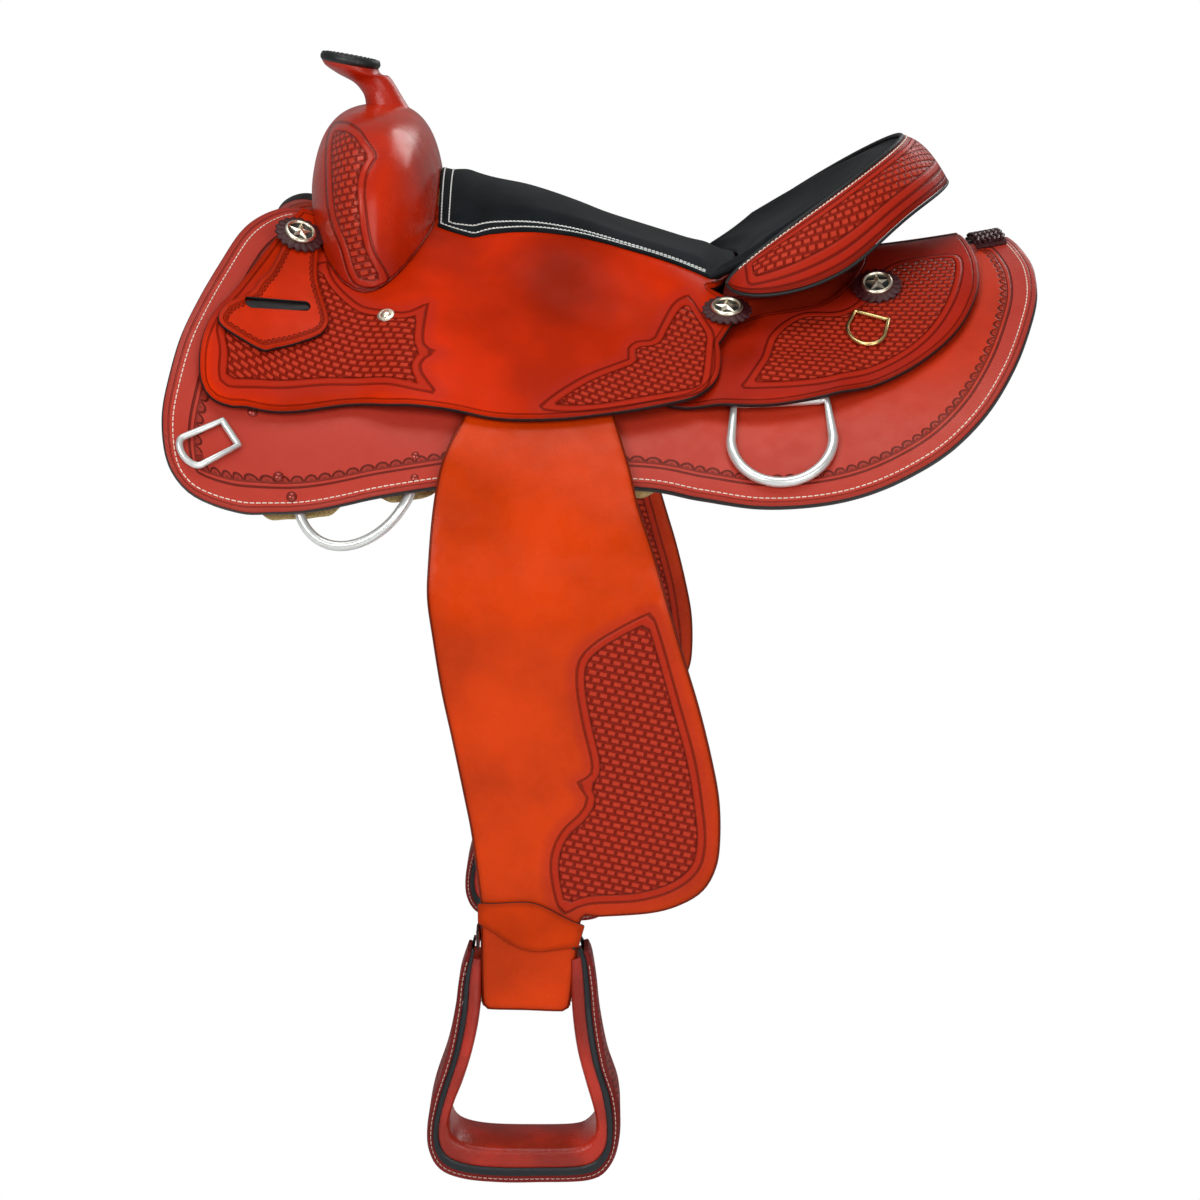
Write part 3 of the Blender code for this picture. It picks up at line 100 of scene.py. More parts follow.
def stations():
    """Run a smooth curve through the seat's stations."""
    xs, rows = SEAT[:, 0], SEAT[:, 1:]
    slopes = np.gradient(rows, xs, axis=0)
    fine = np.linspace(xs[0], xs[-1], 120)
    i = np.clip(np.searchsorted(xs, fine) - 1, 0, len(xs) - 2)
    h = xs[i + 1] - xs[i]
    t = ((fine - xs[i]) / h)[:, None]
    h = h[:, None]
    values = ((2 * t**3 - 3 * t**2 + 1) * rows[i] + (t**3 - 2 * t**2 + t) * h * slopes[i]
              + (3 * t**2 - 2 * t**3) * rows[i + 1] + (t**3 - t**2) * h * slopes[i + 1])
    return fine, values


SEAT_X, SEAT_ROWS = stations()


def seat_row(x, column):
    return np.interp(x, SEAT_X, SEAT_ROWS[:, column])


def back(x, d):
    y = BARREL * np.sin(d / BARREL)
    spine = np.where(x > LOW_AT, CROUP[0] * ((x - LOW_AT) / CROUP[1]) ** 2,
                     WITHERS[0] * ((LOW_AT - x) / WITHERS[1]) ** 2)
    slope = SIDE_SLOPE + FRONT_SLOPE * ease((-0.11 - x) / 0.17)
    z = (spine - SIDE_DROP * (1 - np.cos(d / BARREL))
         - slope * (np.hypot(y, SPINE_ROUND) - SPINE_ROUND))
    return np.stack([x + 0 * d, -y, z], -1)


def outward(x, d):
    s = 1e-4
    n = np.cross(back(x, d + s) - back(x, d - s), back(x + s, d) - back(x - s, d))
    n /= np.linalg.norm(n, axis=-1, keepdims=True)
    return n * np.where(n[..., 2:] < 0, -1, 1)


def layer(x, d, lift):
    x, d = np.asarray(x, float), np.asarray(d, float)
    return back(x, d) + np.asarray(lift)[..., None] * outward(x, d)


def layer_height(x, half, lift):
    d = np.arcsin(np.minimum(0.99, half / BARREL)) * BARREL
    for _ in range(6):
        d = d + half + layer(x, d, lift)[..., 1]
    return layer(x, d, lift)[..., 2]


def seat_top(x, d, above=0.0):
    """The top of the seat leather, with the raised seat in its middle."""
    lift = LIFT["seat_low"] + (LIFT["seat_high"] - LIFT["seat_low"]) * ease((x + 0.20) / 0.05)
    lift = lift + SEAT_THICK + above
    p = layer(x, d, lift)
    half = np.abs(p[..., 1])
    width = seat_row(p[..., 0], 2)
    middle = seat_row(p[..., 0], 0) - 0.010 + above
    edge = seat_row(p[..., 0], 1) - 0.004 + above
    share = ease((p[..., 0] + 0.205) / 0.068)
    at_width = layer_height(x, width, lift)
    edge = np.maximum(edge, at_width)
    raised = (edge - at_width) * share
    shell = edge + (middle - edge) * (1 - (half / width) ** 2)
    inner = p[..., 2] + (shell - p[..., 2]) * share
    outer = p[..., 2] + raised * (1 - ease((half - width) / 0.075))
    p[..., 2] = np.where(half < width, inner, outer)
    return p


def seat_height(x, half, above=0.0):
    """The height of the seat leather above a place in plan."""
    x, half = np.asarray(x, float), np.asarray(half, float)
    u, d = x.copy(), np.arcsin(np.minimum(0.99, half / BARREL)) * BARREL
    for _ in range(8):
        p = seat_top(u, d, above)
        u = u + x - p[..., 0]
        d = d + half - np.abs(p[..., 1])
    return seat_top(u, d, above)[..., 2]


def hang_table(lift):
    """Where the fender's leather lies as it bends off the skirt and hangs."""
    s = 1e-4
    top = LIFT["fender"]
    a, b, c = (layer(-0.05, HANG_FROM + k * s, top) for k in (-1, 0, 1))
    first = math.atan2(-(c - a)[2], -(c - a)[1])
    last = math.radians(91.0)
    steps = np.arange(0, 0.50, HANG_STEP)
    angle = first + (last - first) * ease((steps + 0.001) / HANG_BEND)
    out = -b[1] + np.concatenate([[0], np.cumsum(np.cos(angle) * HANG_STEP)])[:-1]
    high = b[2] - np.concatenate([[0], np.cumsum(np.sin(angle) * HANG_STEP)])[:-1]
    under = top - lift
    return steps + HANG_FROM, out - under * np.sin(angle), high - under * np.cos(angle)


def hanging(x, d, lift):
    x, d = np.asarray(x, float), np.asarray(d, float)
    reach = np.abs(d)
    near = layer(x, np.minimum(reach, 0.44), lift)
    g, out, high = hang_table(lift)
    share = ease((reach - HANG_FROM) / 0.10)
    far_out, far_high = np.interp(reach, g, out), np.interp(reach, g, high)
    out = -near[..., 1] * (1 - share) + far_out * share
    high = near[..., 2] * (1 - share) + far_high * share
    return np.stack([x, -np.sign(d) * out, high], -1)


def rear_top(x, d):
    """The rear jockey rises a little over the rigging ring's bar."""
    over = (ease((0.078 - np.abs(x - 0.146)) / 0.035)
            * ease((0.070 - np.abs(np.abs(d) - 0.235)) / 0.040))
    return layer(x, d, LIFT["rear_jockey"] + 0.0055 * over)


def at_height(lift):
    """The surface that keeps one height above the horse's back."""
    return lambda x, d: layer(x, d, lift)


skirt_top = at_height(LIFT["skirt"])


def fender_top(x, d):
    return hanging(x, d, LIFT["fender"])


print("withers height:", round(float(back(np.array(-0.28), np.array(0.0))[2]), 4))

# %% [markdown]
# ## Cutting patterns
# A saddler cuts each piece from a flat hide with a knife along a pattern. The patterns here are
# smooth closed lines through a few measured points. From each pattern come the distance to the
# edge and the place along the edge, which later steer the grooves, the stamps and the stitching.

# %% Pattern lines and distances
def pattern(points, step=0.004, closed=True):
    """A smooth line through points in millimetres; a point with a third value is a corner."""
    place = np.array([p[:2] for p in points], float) / 1000
    sharp = [len(p) > 2 for p in points]
    n, line = len(place), []
    for i in range(n if closed else n - 1):
        j = (i + 1) % n
        a, b = place[i], place[j]
        before = a if sharp[i] or (not closed and i == 0) else place[i - 1]
        after = b if sharp[j] or (not closed and i == n - 2) else place[(i + 2) % n]
        count = max(1, round(float(np.linalg.norm(b - a)) / step))
        for k in range(count):
            t = k / count
            line.append(0.5 * (2 * a + (b - before) * t + (2 * before - 5 * a + 4 * b - after) * t**2
                               + (3 * a - before - 3 * b + after) * t**3))
    if not closed:
        line.append(place[-1])
    return np.array(line)


def within(points, loop):
    """Which points lie inside a closed line."""
    a, b = loop, np.roll(loop, 1, axis=0)
    x, y = points[:, :1], points[:, 1:]
    crosses = (a[:, 1] > y) != (b[:, 1] > y)
    rise = np.where(b[:, 1] == a[:, 1], 1e-12, b[:, 1] - a[:, 1])
    at = (b[:, 0] - a[:, 0]) * (y - a[:, 1]) / rise + a[:, 0]
    return (crosses & (x < at)).sum(1) % 2 == 1


def run_of(line):
    """How far along a line each of its points lies."""
    return np.concatenate([[0], np.cumsum(np.linalg.norm(np.diff(line, axis=0), axis=1))])


def to_edge(points, loop):
    """Distance to a closed line, and how far along it the nearest place is."""
    a, b = loop, np.roll(loop, -1, axis=0)
    span = b - a
    length = np.linalg.norm(span, axis=1)
    begin = np.concatenate([[0], np.cumsum(length)])[:-1]
    best, along = np.full(len(points), 9.0), np.zeros(len(points))
    for i in range(len(a)):
        t = np.clip(((points - a[i]) @ span[i]) / max(length[i] ** 2, 1e-12), 0, 1)
        far = np.linalg.norm(points - a[i] - t[:, None] * span[i], axis=1)
        closer = far < best
        best = np.where(closer, far, best)
        along = np.where(closer, begin[i] + t * length[i], along)
    return best, along


def inset(loop, distance, step):
    """A line that runs inside a closed line at a distance, with even steps."""
    ahead, behind = np.roll(loop, -1, axis=0), np.roll(loop, 1, axis=0)
    direction = ahead - behind
    direction /= np.maximum(np.linalg.norm(direction, axis=1, keepdims=True), 1e-9)
    normal = np.stack([-direction[:, 1], direction[:, 0]], 1)
    trial = loop + normal * 0.001
    if within(trial, loop).mean() < 0.5:
        normal = -normal
    moved = loop + normal * distance
    far, _ = to_edge(moved, loop)
    moved = moved[(far > distance * 0.93) & within(moved, loop)]
    return even(moved, step, closed=True)


def even(line, step, closed=False):
    if closed:
        line = np.concatenate([line, line[:1]])
    run = run_of(line)
    count = max(2, round(run[-1] / step))
    at = np.linspace(0, run[-1], count + 1)
    if closed:
        at = at[:-1]
    return np.stack([np.interp(at, run, line[:, k]) for k in range(line.shape[1])], 1)


def flip(loop, side):
    return loop * np.array([1.0, side])


# %% [markdown]
# ## Leather sheets
# Real saddle leather is three to eight millimetres thick with a rounded, dyed edge. Each sheet
# is the pattern filled with small triangles, bent over the back and thickened inward, with its
# rim rounded. The flat place, edge distance and panel distance stay with every point, so that
# the tooling follows the pattern and not the camera.

# %% Sheets, patches, stitching
SIDES = (("near", 1.0), ("far", -1.0))
MADE = {}


def place(obj, body, slot, nodes=()):
    """Let a piece ride on its body and hide the frame pieces it stands for; slot is not used."""
    obj.name = obj.name.replace(" ", "_")
    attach(obj, body)
    if nodes:
        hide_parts(*nodes)
    MADE[obj.name] = obj
    return obj


def add(name, data):
    """Put data into the scene as an object."""
    obj = bpy.data.objects.new(name, data)
    bpy.context.scene.collection.objects.link(obj)
    return obj


def new_object(name, points, faces, materials):
    mesh = bpy.data.meshes.new(name)
    mesh.from_pydata([tuple(p) for p in points], [], faces)
    for m in materials:
        mesh.materials.append(m)
    return add(name, mesh)


def thicken(obj, thick):
    """Thicken a sheet inward; its second material, where it has one, is the rim's."""
    solid = obj.modifiers.new("thickness", "SOLIDIFY")
    solid.thickness = thick
    solid.offset = -1.0
    if len(obj.data.materials) > 1:
        solid.material_offset_rim = 1


def turn_outward(obj, weld=False, matrix=None, sharp=None):
    """Turn every face outward, then move the piece to its place and shade it smooth."""
    work = bmesh.new()
    work.from_mesh(obj.data)
    if weld:
        bmesh.ops.remove_doubles(work, verts=work.verts, dist=1e-6)
    bmesh.ops.recalc_face_normals(work, faces=work.faces)
    work.to_mesh(obj.data)
    work.free()
    if matrix:
        obj.data.transform(matrix)
    obj.data.shade_smooth()
    if sharp:
        obj.data.set_sharp_from_angle(angle=math.radians(sharp))


def new_curve(name, radius, resolution, material):
    data = bpy.data.curves.new(name, "CURVE")
    data.dimensions = "3D"
    data.bevel_depth = radius
    data.bevel_resolution = resolution
    data.use_fill_caps = True
    data.materials.append(material)
    return data


def draw(data, points, closed=False, radii=None):
    """Add one line to a curve, with a share of its radius for each point."""
    line = data.splines.new("POLY")
    line.points.add(len(points) - 1)
    for i, p in enumerate(points):
        line.points[i].co = (*p, 1.0)
        line.points[i].radius = 1.0 if radii is None else radii[i]
    line.use_cyclic_u = closed
    line.use_smooth = True


def write_values(obj, name, values):
    kind = "FLOAT_VECTOR" if values.ndim == 2 else "FLOAT"
    layer_of = obj.data.attributes.new(name, kind, "POINT")
    key = "vector" if values.ndim == 2 else "value"
    layer_of.data.foreach_set(key, np.ascontiguousarray(values, dtype=np.float32).ravel())


def fill(loop, holes, spacing):
    """Cover a pattern with a lattice of triangles."""
    low, high = loop.min(0), loop.max(0)
    rows = np.arange(low[1], high[1], spacing * 0.87)
    grid = []
    for k, y in enumerate(rows):
        xs = np.arange(low[0] + spacing * 0.5 * (k % 2), high[0], spacing)
        grid.append(np.stack([xs, np.full(len(xs), y)], 1))
    grid = np.concatenate(grid)
    grid = grid[within(grid, loop)]
    far, _ = to_edge(grid, loop)
    grid = grid[far > spacing * 0.55]
    for hole in holes:
        far, _ = to_edge(grid, hole)
        grid = grid[(far > spacing * 0.55) & ~within(grid, hole)]
    rings = [loop, *holes]
    points, edges = [], []
    for ring in rings:
        first = len(points)
        points += [tuple(p) for p in ring]
        edges += [(first + i, first + (i + 1) % len(ring)) for i in range(len(ring))]
    points += [tuple(p) for p in grid]
    places, _, faces, _, _, _ = delaunay_2d_cdt([Vector(p) for p in points], edges, [], 0, 1e-7)
    places = np.array([tuple(p) for p in places])
    faces = np.array([tuple(f) for f in faces])
    middle = places[faces].mean(1)
    keep = within(middle, loop)
    for hole in holes:
        keep &= ~within(middle, hole)
    faces = faces[keep]
    used = np.unique(faces)
    order = np.full(len(places), -1)
    order[used] = np.arange(len(used))
    return places[used], order[faces]


def leather(name, loop, surface, thick, materials, spacing=0.007, holes=(), panels=(), rim=0.0012):
    """A leather sheet from a pattern; its faces look out of the back on both sides."""
    flat, faces = fill(loop, holes, spacing)
    points = surface(flat[:, 0], flat[:, 1])
    obj = new_object(name, points, [tuple(reversed(f)) for f in faces.tolist()], materials)
    edge, along = to_edge(flat, loop)
    write_values(obj, "flat", np.column_stack([flat, np.zeros(len(flat))]))
    write_values(obj, "edge", edge)
    write_values(obj, "along", along)
    panel, run = np.full(len(flat), -1.0), np.zeros(len(flat))
    for shape in panels:
        far, at = to_edge(flat, shape)
        signed = np.where(within(flat, shape), far, -far)
        closer = signed > panel
        panel, run = np.where(closer, signed, panel), np.where(closer, at, run)
    write_values(obj, "panel", panel)
    write_values(obj, "panel_along", run)
    thicken(obj, thick)
    soften(obj, rim)
    return obj


def soften(obj, width, angle=50):
    round_over = obj.modifiers.new("rounded_edge", "BEVEL")
    round_over.width = width
    round_over.segments = 2
    round_over.limit_method = "ANGLE"
    round_over.angle_limit = math.radians(angle)
    round_over.harden_normals = False
    obj.data.shade_smooth()


def grid_points(fn, nu, nv):
    u, v = np.meshgrid(np.linspace(0, 1, nu + 1), np.linspace(0, 1, nv + 1), indexing="ij")
    return fn(u.ravel(), v.ravel()), u.ravel(), v.ravel()


def grid_faces(nu, nv, closed=False):
    faces = []
    for i in range(nu):
        for k in range(nv):
            a, b = i * (nv + 1) + k, ((i + 1) % nu if closed else i + 1) * (nv + 1) + k
            faces.append((a, a + 1, b + 1, b))
    return faces


def patch(name, fn, nu, nv, materials, thick=0.0, out=None, closed=False, rim=0.0012):
    """A surface read on rows and columns, thickened inward; out says which way it looks."""
    points, u, v = grid_points(fn, nu, nv)
    if closed:
        points, u, v = (a[: nu * (nv + 1)] for a in (points, u, v))
    faces = grid_faces(nu, nv, closed)
    a, b, c = (points[faces[len(faces) // 2][k]] for k in (0, 1, 2))
    normal = np.cross(b - a, c - b)
    look = np.array(out) if out is not None else points.mean(0)
    if normal @ look < 0:
        faces = [tuple(reversed(f)) for f in faces]
    obj = new_object(name, points, faces, materials)
    if thick:
        thicken(obj, thick)
        soften(obj, rim)
    obj.data.shade_smooth()
    return obj, u, v


def threads(name, lines, looks, pitch, length, radius, material, high=0.0006):
    """Stitches: short bent threads that rise out of the leather and sink into it again."""
    data = new_curve(name, radius, 1, material)
    total = 0
    for line, look in zip(lines, looks):
        look = look.copy()
        for i in range(1, len(look)):
            if look[i] @ look[i - 1] < 0:
                look[i] = -look[i]
        run = run_of(line)
        at = np.linspace(0, run[-1], max(2, round(run[-1] / (pitch / 4))) + 1)
        both = np.stack([np.interp(at, run, row) for row in np.hstack([line, look]).T], 1)
        count = (len(both) - 1) // 4
        reach = length / pitch
        for i in range(count):
            ends = []
            for t, rise in ((0.0, -0.5), (0.25, 0.8), (0.75, 0.8), (1.0, -0.5)):
                at = (i + t * reach) * 4
                k = int(at)
                p = both[k] + (both[min(k + 1, len(both) - 1)] - both[k]) * (at - k)
                ends.append(p[:3] + p[3:] * high * rise)
            draw(data, ends)
            total += 1
    print(name, "stitches:", total)
    return add(name, data)


def on_surface(surface, line, closed=True):
    """Carry a flat line onto a surface, with the way the surface looks at each point."""
    if closed:
        line = np.concatenate([line, line[:1]])
    s = 0.002
    x, d = line[:, 0], line[:, 1]
    p = surface(x, d)
    n = np.cross(surface(x, d + s) - surface(x, d - s), surface(x + s, d) - surface(x - s, d))
    n /= np.linalg.norm(n, axis=1, keepdims=True)
    away = np.column_stack([0 * x, np.sign(p[:, 1]), 0.6 + 0 * x])
    n *= np.where((n * away).sum(1) < 0, -1.0, 1.0)[:, None]
    return p, n


# %% [markdown]
# ## Finishes
# The saddle is burnt orange-red leather with darker, stamped panels, orange skirts and black
# dyed edges. The skirts turn rose towards their lower part and along their border, partly the
# leather's own tone and partly a painted sheen. Each finish mixes the dye with slow cloudy
# changes, adds a fine grain, and presses the stamped pattern in with a bump. The basket stamp is
# a row of short bars with a thin strand between them, each row moved by half a bar, set on the
# slant just as the stamping tool was; the top of each bar is lightened as a painted highlight.

# %% Finishes made of nodes
def dye(r, g, b):
    """A colour given as it looks on a screen, 0 to 255."""
    def line(c):
        c /= 255
        return c / 12.92 if c <= 0.04045 else ((c + 0.055) / 1.055) ** 2.4
    return (line(r), line(g), line(b), 1.0)


class Finish:
    """A small helper that wires shader nodes with short lines."""

    def __init__(self, name, color, rough=0.45, metal=0.0):
        self.material = bpy.data.materials.new(name)
        self.material.use_nodes = True
        self.tree = self.material.node_tree
        self.shader = self.tree.nodes["Principled BSDF"]
        self.shader.inputs["Base Color"].default_value = color
        self.shader.inputs["Roughness"].default_value = rough
        self.shader.inputs["Metallic"].default_value = metal

    def node(self, kind, **settings):
        made = self.tree.nodes.new(kind)
        for key, value in settings.items():
            setattr(made, key, value)
        return made

    def join(self, socket, value):
        if isinstance(value, (int, float, tuple)):
            socket.default_value = value
        else:
            self.tree.links.new(value, socket)

    def math(self, kind, a, b=0.0, c=0.0):
        made = self.node("ShaderNodeMath", operation=kind)
        for k, value in enumerate((a, b, c)):
            self.join(made.inputs[k], value)
        return made.outputs[0]

    def times(self, a, b):
        return self.math("MULTIPLY", a, b)

    def less(self, a, b):
        return self.math("SUBTRACT", a, b)

    def plus(self, a, b):
        return self.math("ADD", a, b)

    def darken(self, shade, amount):
        """Take a share of the light away."""
        return self.times(shade, self.less(1.0, amount))

    def value(self, name):
        return self.node("ShaderNodeAttribute", attribute_name=name).outputs["Fac"]

    def vector(self, name):
        return self.node("ShaderNodeAttribute", attribute_name=name).outputs["Vector"]

    def split(self, vector):
        made = self.node("ShaderNodeSeparateXYZ")
        self.join(made.inputs[0], vector)
        return made.outputs[0], made.outputs[1]

    def noise(self, scale, detail=3.0, rough=0.5, stretch=None):
        place_of = self.node("ShaderNodeTexCoord").outputs["Object"]
        if stretch:
            turn = self.node("ShaderNodeMapping")
            turn.inputs["Scale"].default_value = stretch
            self.join(turn.inputs["Vector"], place_of)
            place_of = turn.outputs[0]
        made = self.node("ShaderNodeTexNoise")
        made.inputs["Scale"].default_value = scale
        made.inputs["Detail"].default_value = detail
        made.inputs["Roughness"].default_value = rough
        self.join(made.inputs["Vector"], place_of)
        return made.outputs["Fac"]

    def spread(self, value, low, high, start=0.0, end=1.0):
        made = self.node("ShaderNodeMapRange", interpolation_type="SMOOTHSTEP")
        self.join(made.inputs["Value"], value)
        for key, number in (("From Min", low), ("From Max", high),
                            ("To Min", start), ("To Max", end)):
            made.inputs[key].default_value = number
        return made.outputs[0]

    def band(self, value, middle, half, soft):
        """1 near a distance, 0 away from it."""
        off = self.math("ABSOLUTE", self.less(value, middle))
        return self.spread(off, half, half + soft, 1.0, 0.0)

    def mix(self, share, a, b):
        made = self.node("ShaderNodeMix", data_type="RGBA")
        self.join(made.inputs[0], share)
        self.join(made.inputs[6], a)
        self.join(made.inputs[7], b)
        return made.outputs[2]

    def bump(self, height, distance, strength=1.0, below=None):
        made = self.node("ShaderNodeBump")
        made.inputs["Distance"].default_value = distance
        made.inputs["Strength"].default_value = strength
        self.join(made.inputs["Height"], height)
        if below:
            self.join(made.inputs["Normal"], below)
        return made.outputs[0]

    def basket(self, wide, high, slant=-13):
        """The woven stamp: bars in rows, each row moved by half a bar."""
        x, d = self.split(self.vector("flat"))
        d = self.math("ABSOLUTE", d)
        c, s = math.cos(math.radians(slant)), math.sin(math.radians(slant))
        u = self.plus(self.times(x, c / wide), self.times(d, -s / wide))
        v = self.plus(self.times(x, s / high), self.times(d, c / high))
        row = self.math("FLOOR", v)
        shift = self.times(self.math("FLOORED_MODULO", row, 2.0), 0.5)
        fu = self.less(self.math("FRACT", self.plus(u, shift)), 0.5)
        fv = self.less(self.math("FRACT", v), 0.5)
        from_middle = self.math("ABSOLUTE", fu)
        bar = self.spread(from_middle, 0.30, 0.44, 1.0, 0.0)
        strand = self.times(self.spread(from_middle, 0.45, 0.49), 0.55)
        tall = self.spread(self.math("ABSOLUTE", fv), 0.20, 0.50, 1.0, 0.0)
        return self.times(self.math("MAXIMUM", bar, strand), tall)


def leather_finish(name, color, panel_color=None, edge_lines=(), scallops=None, rough=0.36,
                   cloud=0.14, shine=0.12, dark_edge=0.35, basket_size=(0.0085, 0.0056), stain=None,
                   low_tone_and_sheen=None):
    """Dyed leather; inside a panel it is stamped, along its edge it has grooves and scallops."""
    f = Finish(name, color, rough)
    cloudy = f.spread(f.noise(9.0, 4.0, 0.55), 0.30, 0.72)
    deep = tuple(c * (1 - 2.2 * cloud) for c in color[:3]) + (1.0,)
    light = tuple(min(1, c * (1 + cloud)) for c in color[:3]) + (1.0,)
    tint = f.mix(cloudy, deep, light)
    # Rose towards the lower skirt and along its border: partly the leather's tone, partly a painted
    # sheen.
    if low_tone_and_sheen:
        down = f.math("ABSOLUTE", f.split(f.vector("flat"))[1])
        rim = f.spread(f.value("edge"), 0.020, 0.026, 1.0, 0.0)
        tint = f.mix(f.math("MAXIMUM", f.spread(down, 0.20, 0.31), rim), tint, low_tone_and_sheen)
    fine = f.noise(420.0, 2.0, 0.6)
    height = f.times(fine, 0.10)
    edge = f.value("edge")
    worn = f.spread(edge, 0.0, 0.006, 1 - dark_edge, 1.0)
    shade = worn
    for at, half, depth in edge_lines:
        line = f.band(edge, at, half, 0.0006)
        shade = f.darken(shade, f.times(line, depth))
        height = f.less(height, f.times(line, 0.8))
    if scallops:
        at, radius, pitch = scallops
        in_pitch = f.math("FRACT", f.times(f.value("along"), 1 / pitch))
        aside = f.times(f.less(in_pitch, 0.5), pitch)
        above = f.less(edge, at)
        ring = f.math("SQRT", f.plus(f.times(aside, aside), f.times(above, above)))
        upper = f.spread(above, -0.0003, 0.0003)
        seed = f.times(f.spread(ring, radius * 0.20, radius * 0.50, 1.0, 0.0), 0.75)
        moon = f.math("MAXIMUM", f.band(ring, radius * 0.86, radius * 0.10, radius * 0.10), seed)
        ground = f.times(f.times(upper, f.spread(ring, radius * 0.9, radius, 1.0, 0.0)), 0.4)
        dark = f.math("MAXIMUM", f.times(moon, upper), ground)
        shade = f.darken(shade, f.times(dark, 0.80))
        height = f.less(height, f.times(dark, 0.9))
    if panel_color:
        panel = f.value("panel")
        inside = f.spread(panel, 0.0062, 0.0070)
        stamp = f.basket(*basket_size)
        bead = f.band(panel, 0.0033, 0.0010, 0.0018)
        outline = f.math("MAXIMUM", f.band(panel, 0.0, 0.0005, 0.0008),
                         f.band(panel, 0.0065, 0.0003, 0.0007))
        tint = f.mix(f.spread(panel, -0.012, -0.003, 0.0, 0.40), tint, dye(166, 38, 30))
        low = tuple(c * 0.50 for c in panel_color[:3]) + (1.0,)
        stamped = f.times(stamp, f.spread(cloudy, 0.0, 1.0, 0.75, 1.0))
        stamped = f.mix(stamped, low, panel_color)
        # Painted highlight: the top of each stamped bar is lightened toward pink.
        stamped = f.mix(f.spread(stamp, 0.75, 1.0, 0.0, 0.6), stamped, dye(192, 62, 40))
        tint = f.mix(inside, tint, stamped)
        rim_of = f.spread(panel, 0.0, 0.0008)
        tint = f.mix(f.times(f.less(rim_of, inside), 0.75), tint, panel_color)
        shade = f.darken(shade, f.times(outline, 0.6))
        pressed = f.times(inside, f.less(stamp, 1.0))
        height = f.plus(height, f.times(pressed, 0.9))
        height = f.plus(height, f.times(bead, 0.5))
        height = f.less(height, f.times(outline, 0.5))
    if stain:
        (sx, sd), radius, strength = stain
        x, d = f.split(f.vector("flat"))
        across, down = f.less(x, sx), f.less(f.math("ABSOLUTE", d), sd)
        away = f.math("SQRT", f.plus(f.math("POWER", across, 2.0), f.math("POWER", down, 2.0)))
        shade = f.times(shade, f.spread(away, 0.0, radius, 1 - strength, 1.0))
    dark = f.mix(shade, tuple(c * 0.06 for c in color[:3]) + (1.0,), tint)
    f.join(f.shader.inputs["Base Color"], dark)
    patchy = f.spread(f.noise(60.0, 2.0), 0.3, 0.7, rough - 0.05, rough + 0.08)
    f.join(f.shader.inputs["Roughness"], patchy)
    f.join(f.shader.inputs["Normal"], f.bump(height, 0.0011, 0.9))
    f.shader.inputs["Specular IOR Level"].default_value = shine
    f.shader.inputs["Specular Tint"].default_value = (1.0, 0.62, 0.55, 1.0)
    return f.material


def plain_finish(name, color, rough, metal=0.0, grain=0.0, scale=300.0, change=0.08, level=0.4):
    f = Finish(name, color, rough, metal)
    slow = f.spread(f.noise(25.0, 3.0), 0.3, 0.7)
    f.join(f.shader.inputs["Base Color"], f.mix(
        slow, tuple(c * (1 - change) for c in color[:3]) + (1.0,),
        tuple(min(1, c * (1 + change)) for c in color[:3]) + (1.0,)))
    if grain:
        f.join(f.shader.inputs["Normal"], f.bump(f.noise(scale, 3.0, 0.6), grain, 0.8))
    f.shader.inputs["Specular IOR Level"].default_value = level
    return f.material


ORANGE, ROSE_TONE_AND_SHEEN, RED_ORANGE = dye(200, 42, 2), dye(180, 58, 46), dye(206, 59, 6)
STAMPED, BLACK = dye(172, 38, 18), dye(26, 20, 20)
edge_dye = plain_finish("black edge dye", BLACK, 0.5, grain=0.0004)
jockey_finish = leather_finish("jockey leather", ORANGE, STAMPED, [(0.0045, 0.0003, 0.5)],
                               stain=((-0.035, 0.125), 0.075, 0.42), shine=0.06)
# The rear jockeys are dyed darker than the seat leather as painted shade, since the back of the
# saddle lies away from the light.
rear_shaded_finish = leather_finish("rear jockey leather", dye(166, 32, 8), STAMPED,
                             [(0.0045, 0.0003, 0.5)], shine=0.08)
SKIRT_GROOVES = [(0.0045, 0.0003, 0.4), (0.0205, 0.0006, 0.75), (0.0245, 0.0004, 0.6)]
# The skirts' rose lower tone is partly a painted sheen.
skirt_finish = leather_finish("skirt leather", dye(196, 50, 20), None, SKIRT_GROOVES,
                              scallops=(0.0252, 0.0054, 0.0112), rough=0.34, shine=0.30, cloud=0.10,
                              low_tone_and_sheen=ROSE_TONE_AND_SHEEN)
fender_finish = leather_finish("fender leather", RED_ORANGE, STAMPED, [(0.0004, 0.0011, 0.60)],
                               cloud=0.12, rough=0.28, shine=0.20)
thread_finish = plain_finish("cream thread", dye(234, 218, 202), 0.7, level=0.2)
seat_thread = plain_finish("white thread", dye(226, 230, 226), 0.7, level=0.2)
steel_finish = plain_finish("polished steel", dye(226, 229, 226), 0.30, 0.6, change=0.03)
silver_finish = plain_finish("silver star", dye(238, 228, 206), 0.30, 1.0, grain=0.0002,
                             change=0.05)
brass_finish = plain_finish("brass", dye(218, 190, 128), 0.25, 1.0, change=0.05)
wood_finish = plain_finish("bare wood", dye(150, 112, 70), 0.7, grain=0.0006, change=0.2)
print("finishes:", len(bpy.data.materials))

# %% [markdown]
# ## Skirts and fleece
# The skirts are the large lower leathers that spread the load, with woolskin glued under them.
# They carry a cream lock stitch all round, a double groove and a row of half-moon stamps. The
# wool could be grown as hair, but it only shows as a thin lumpy line, so it is a lumpy layer.

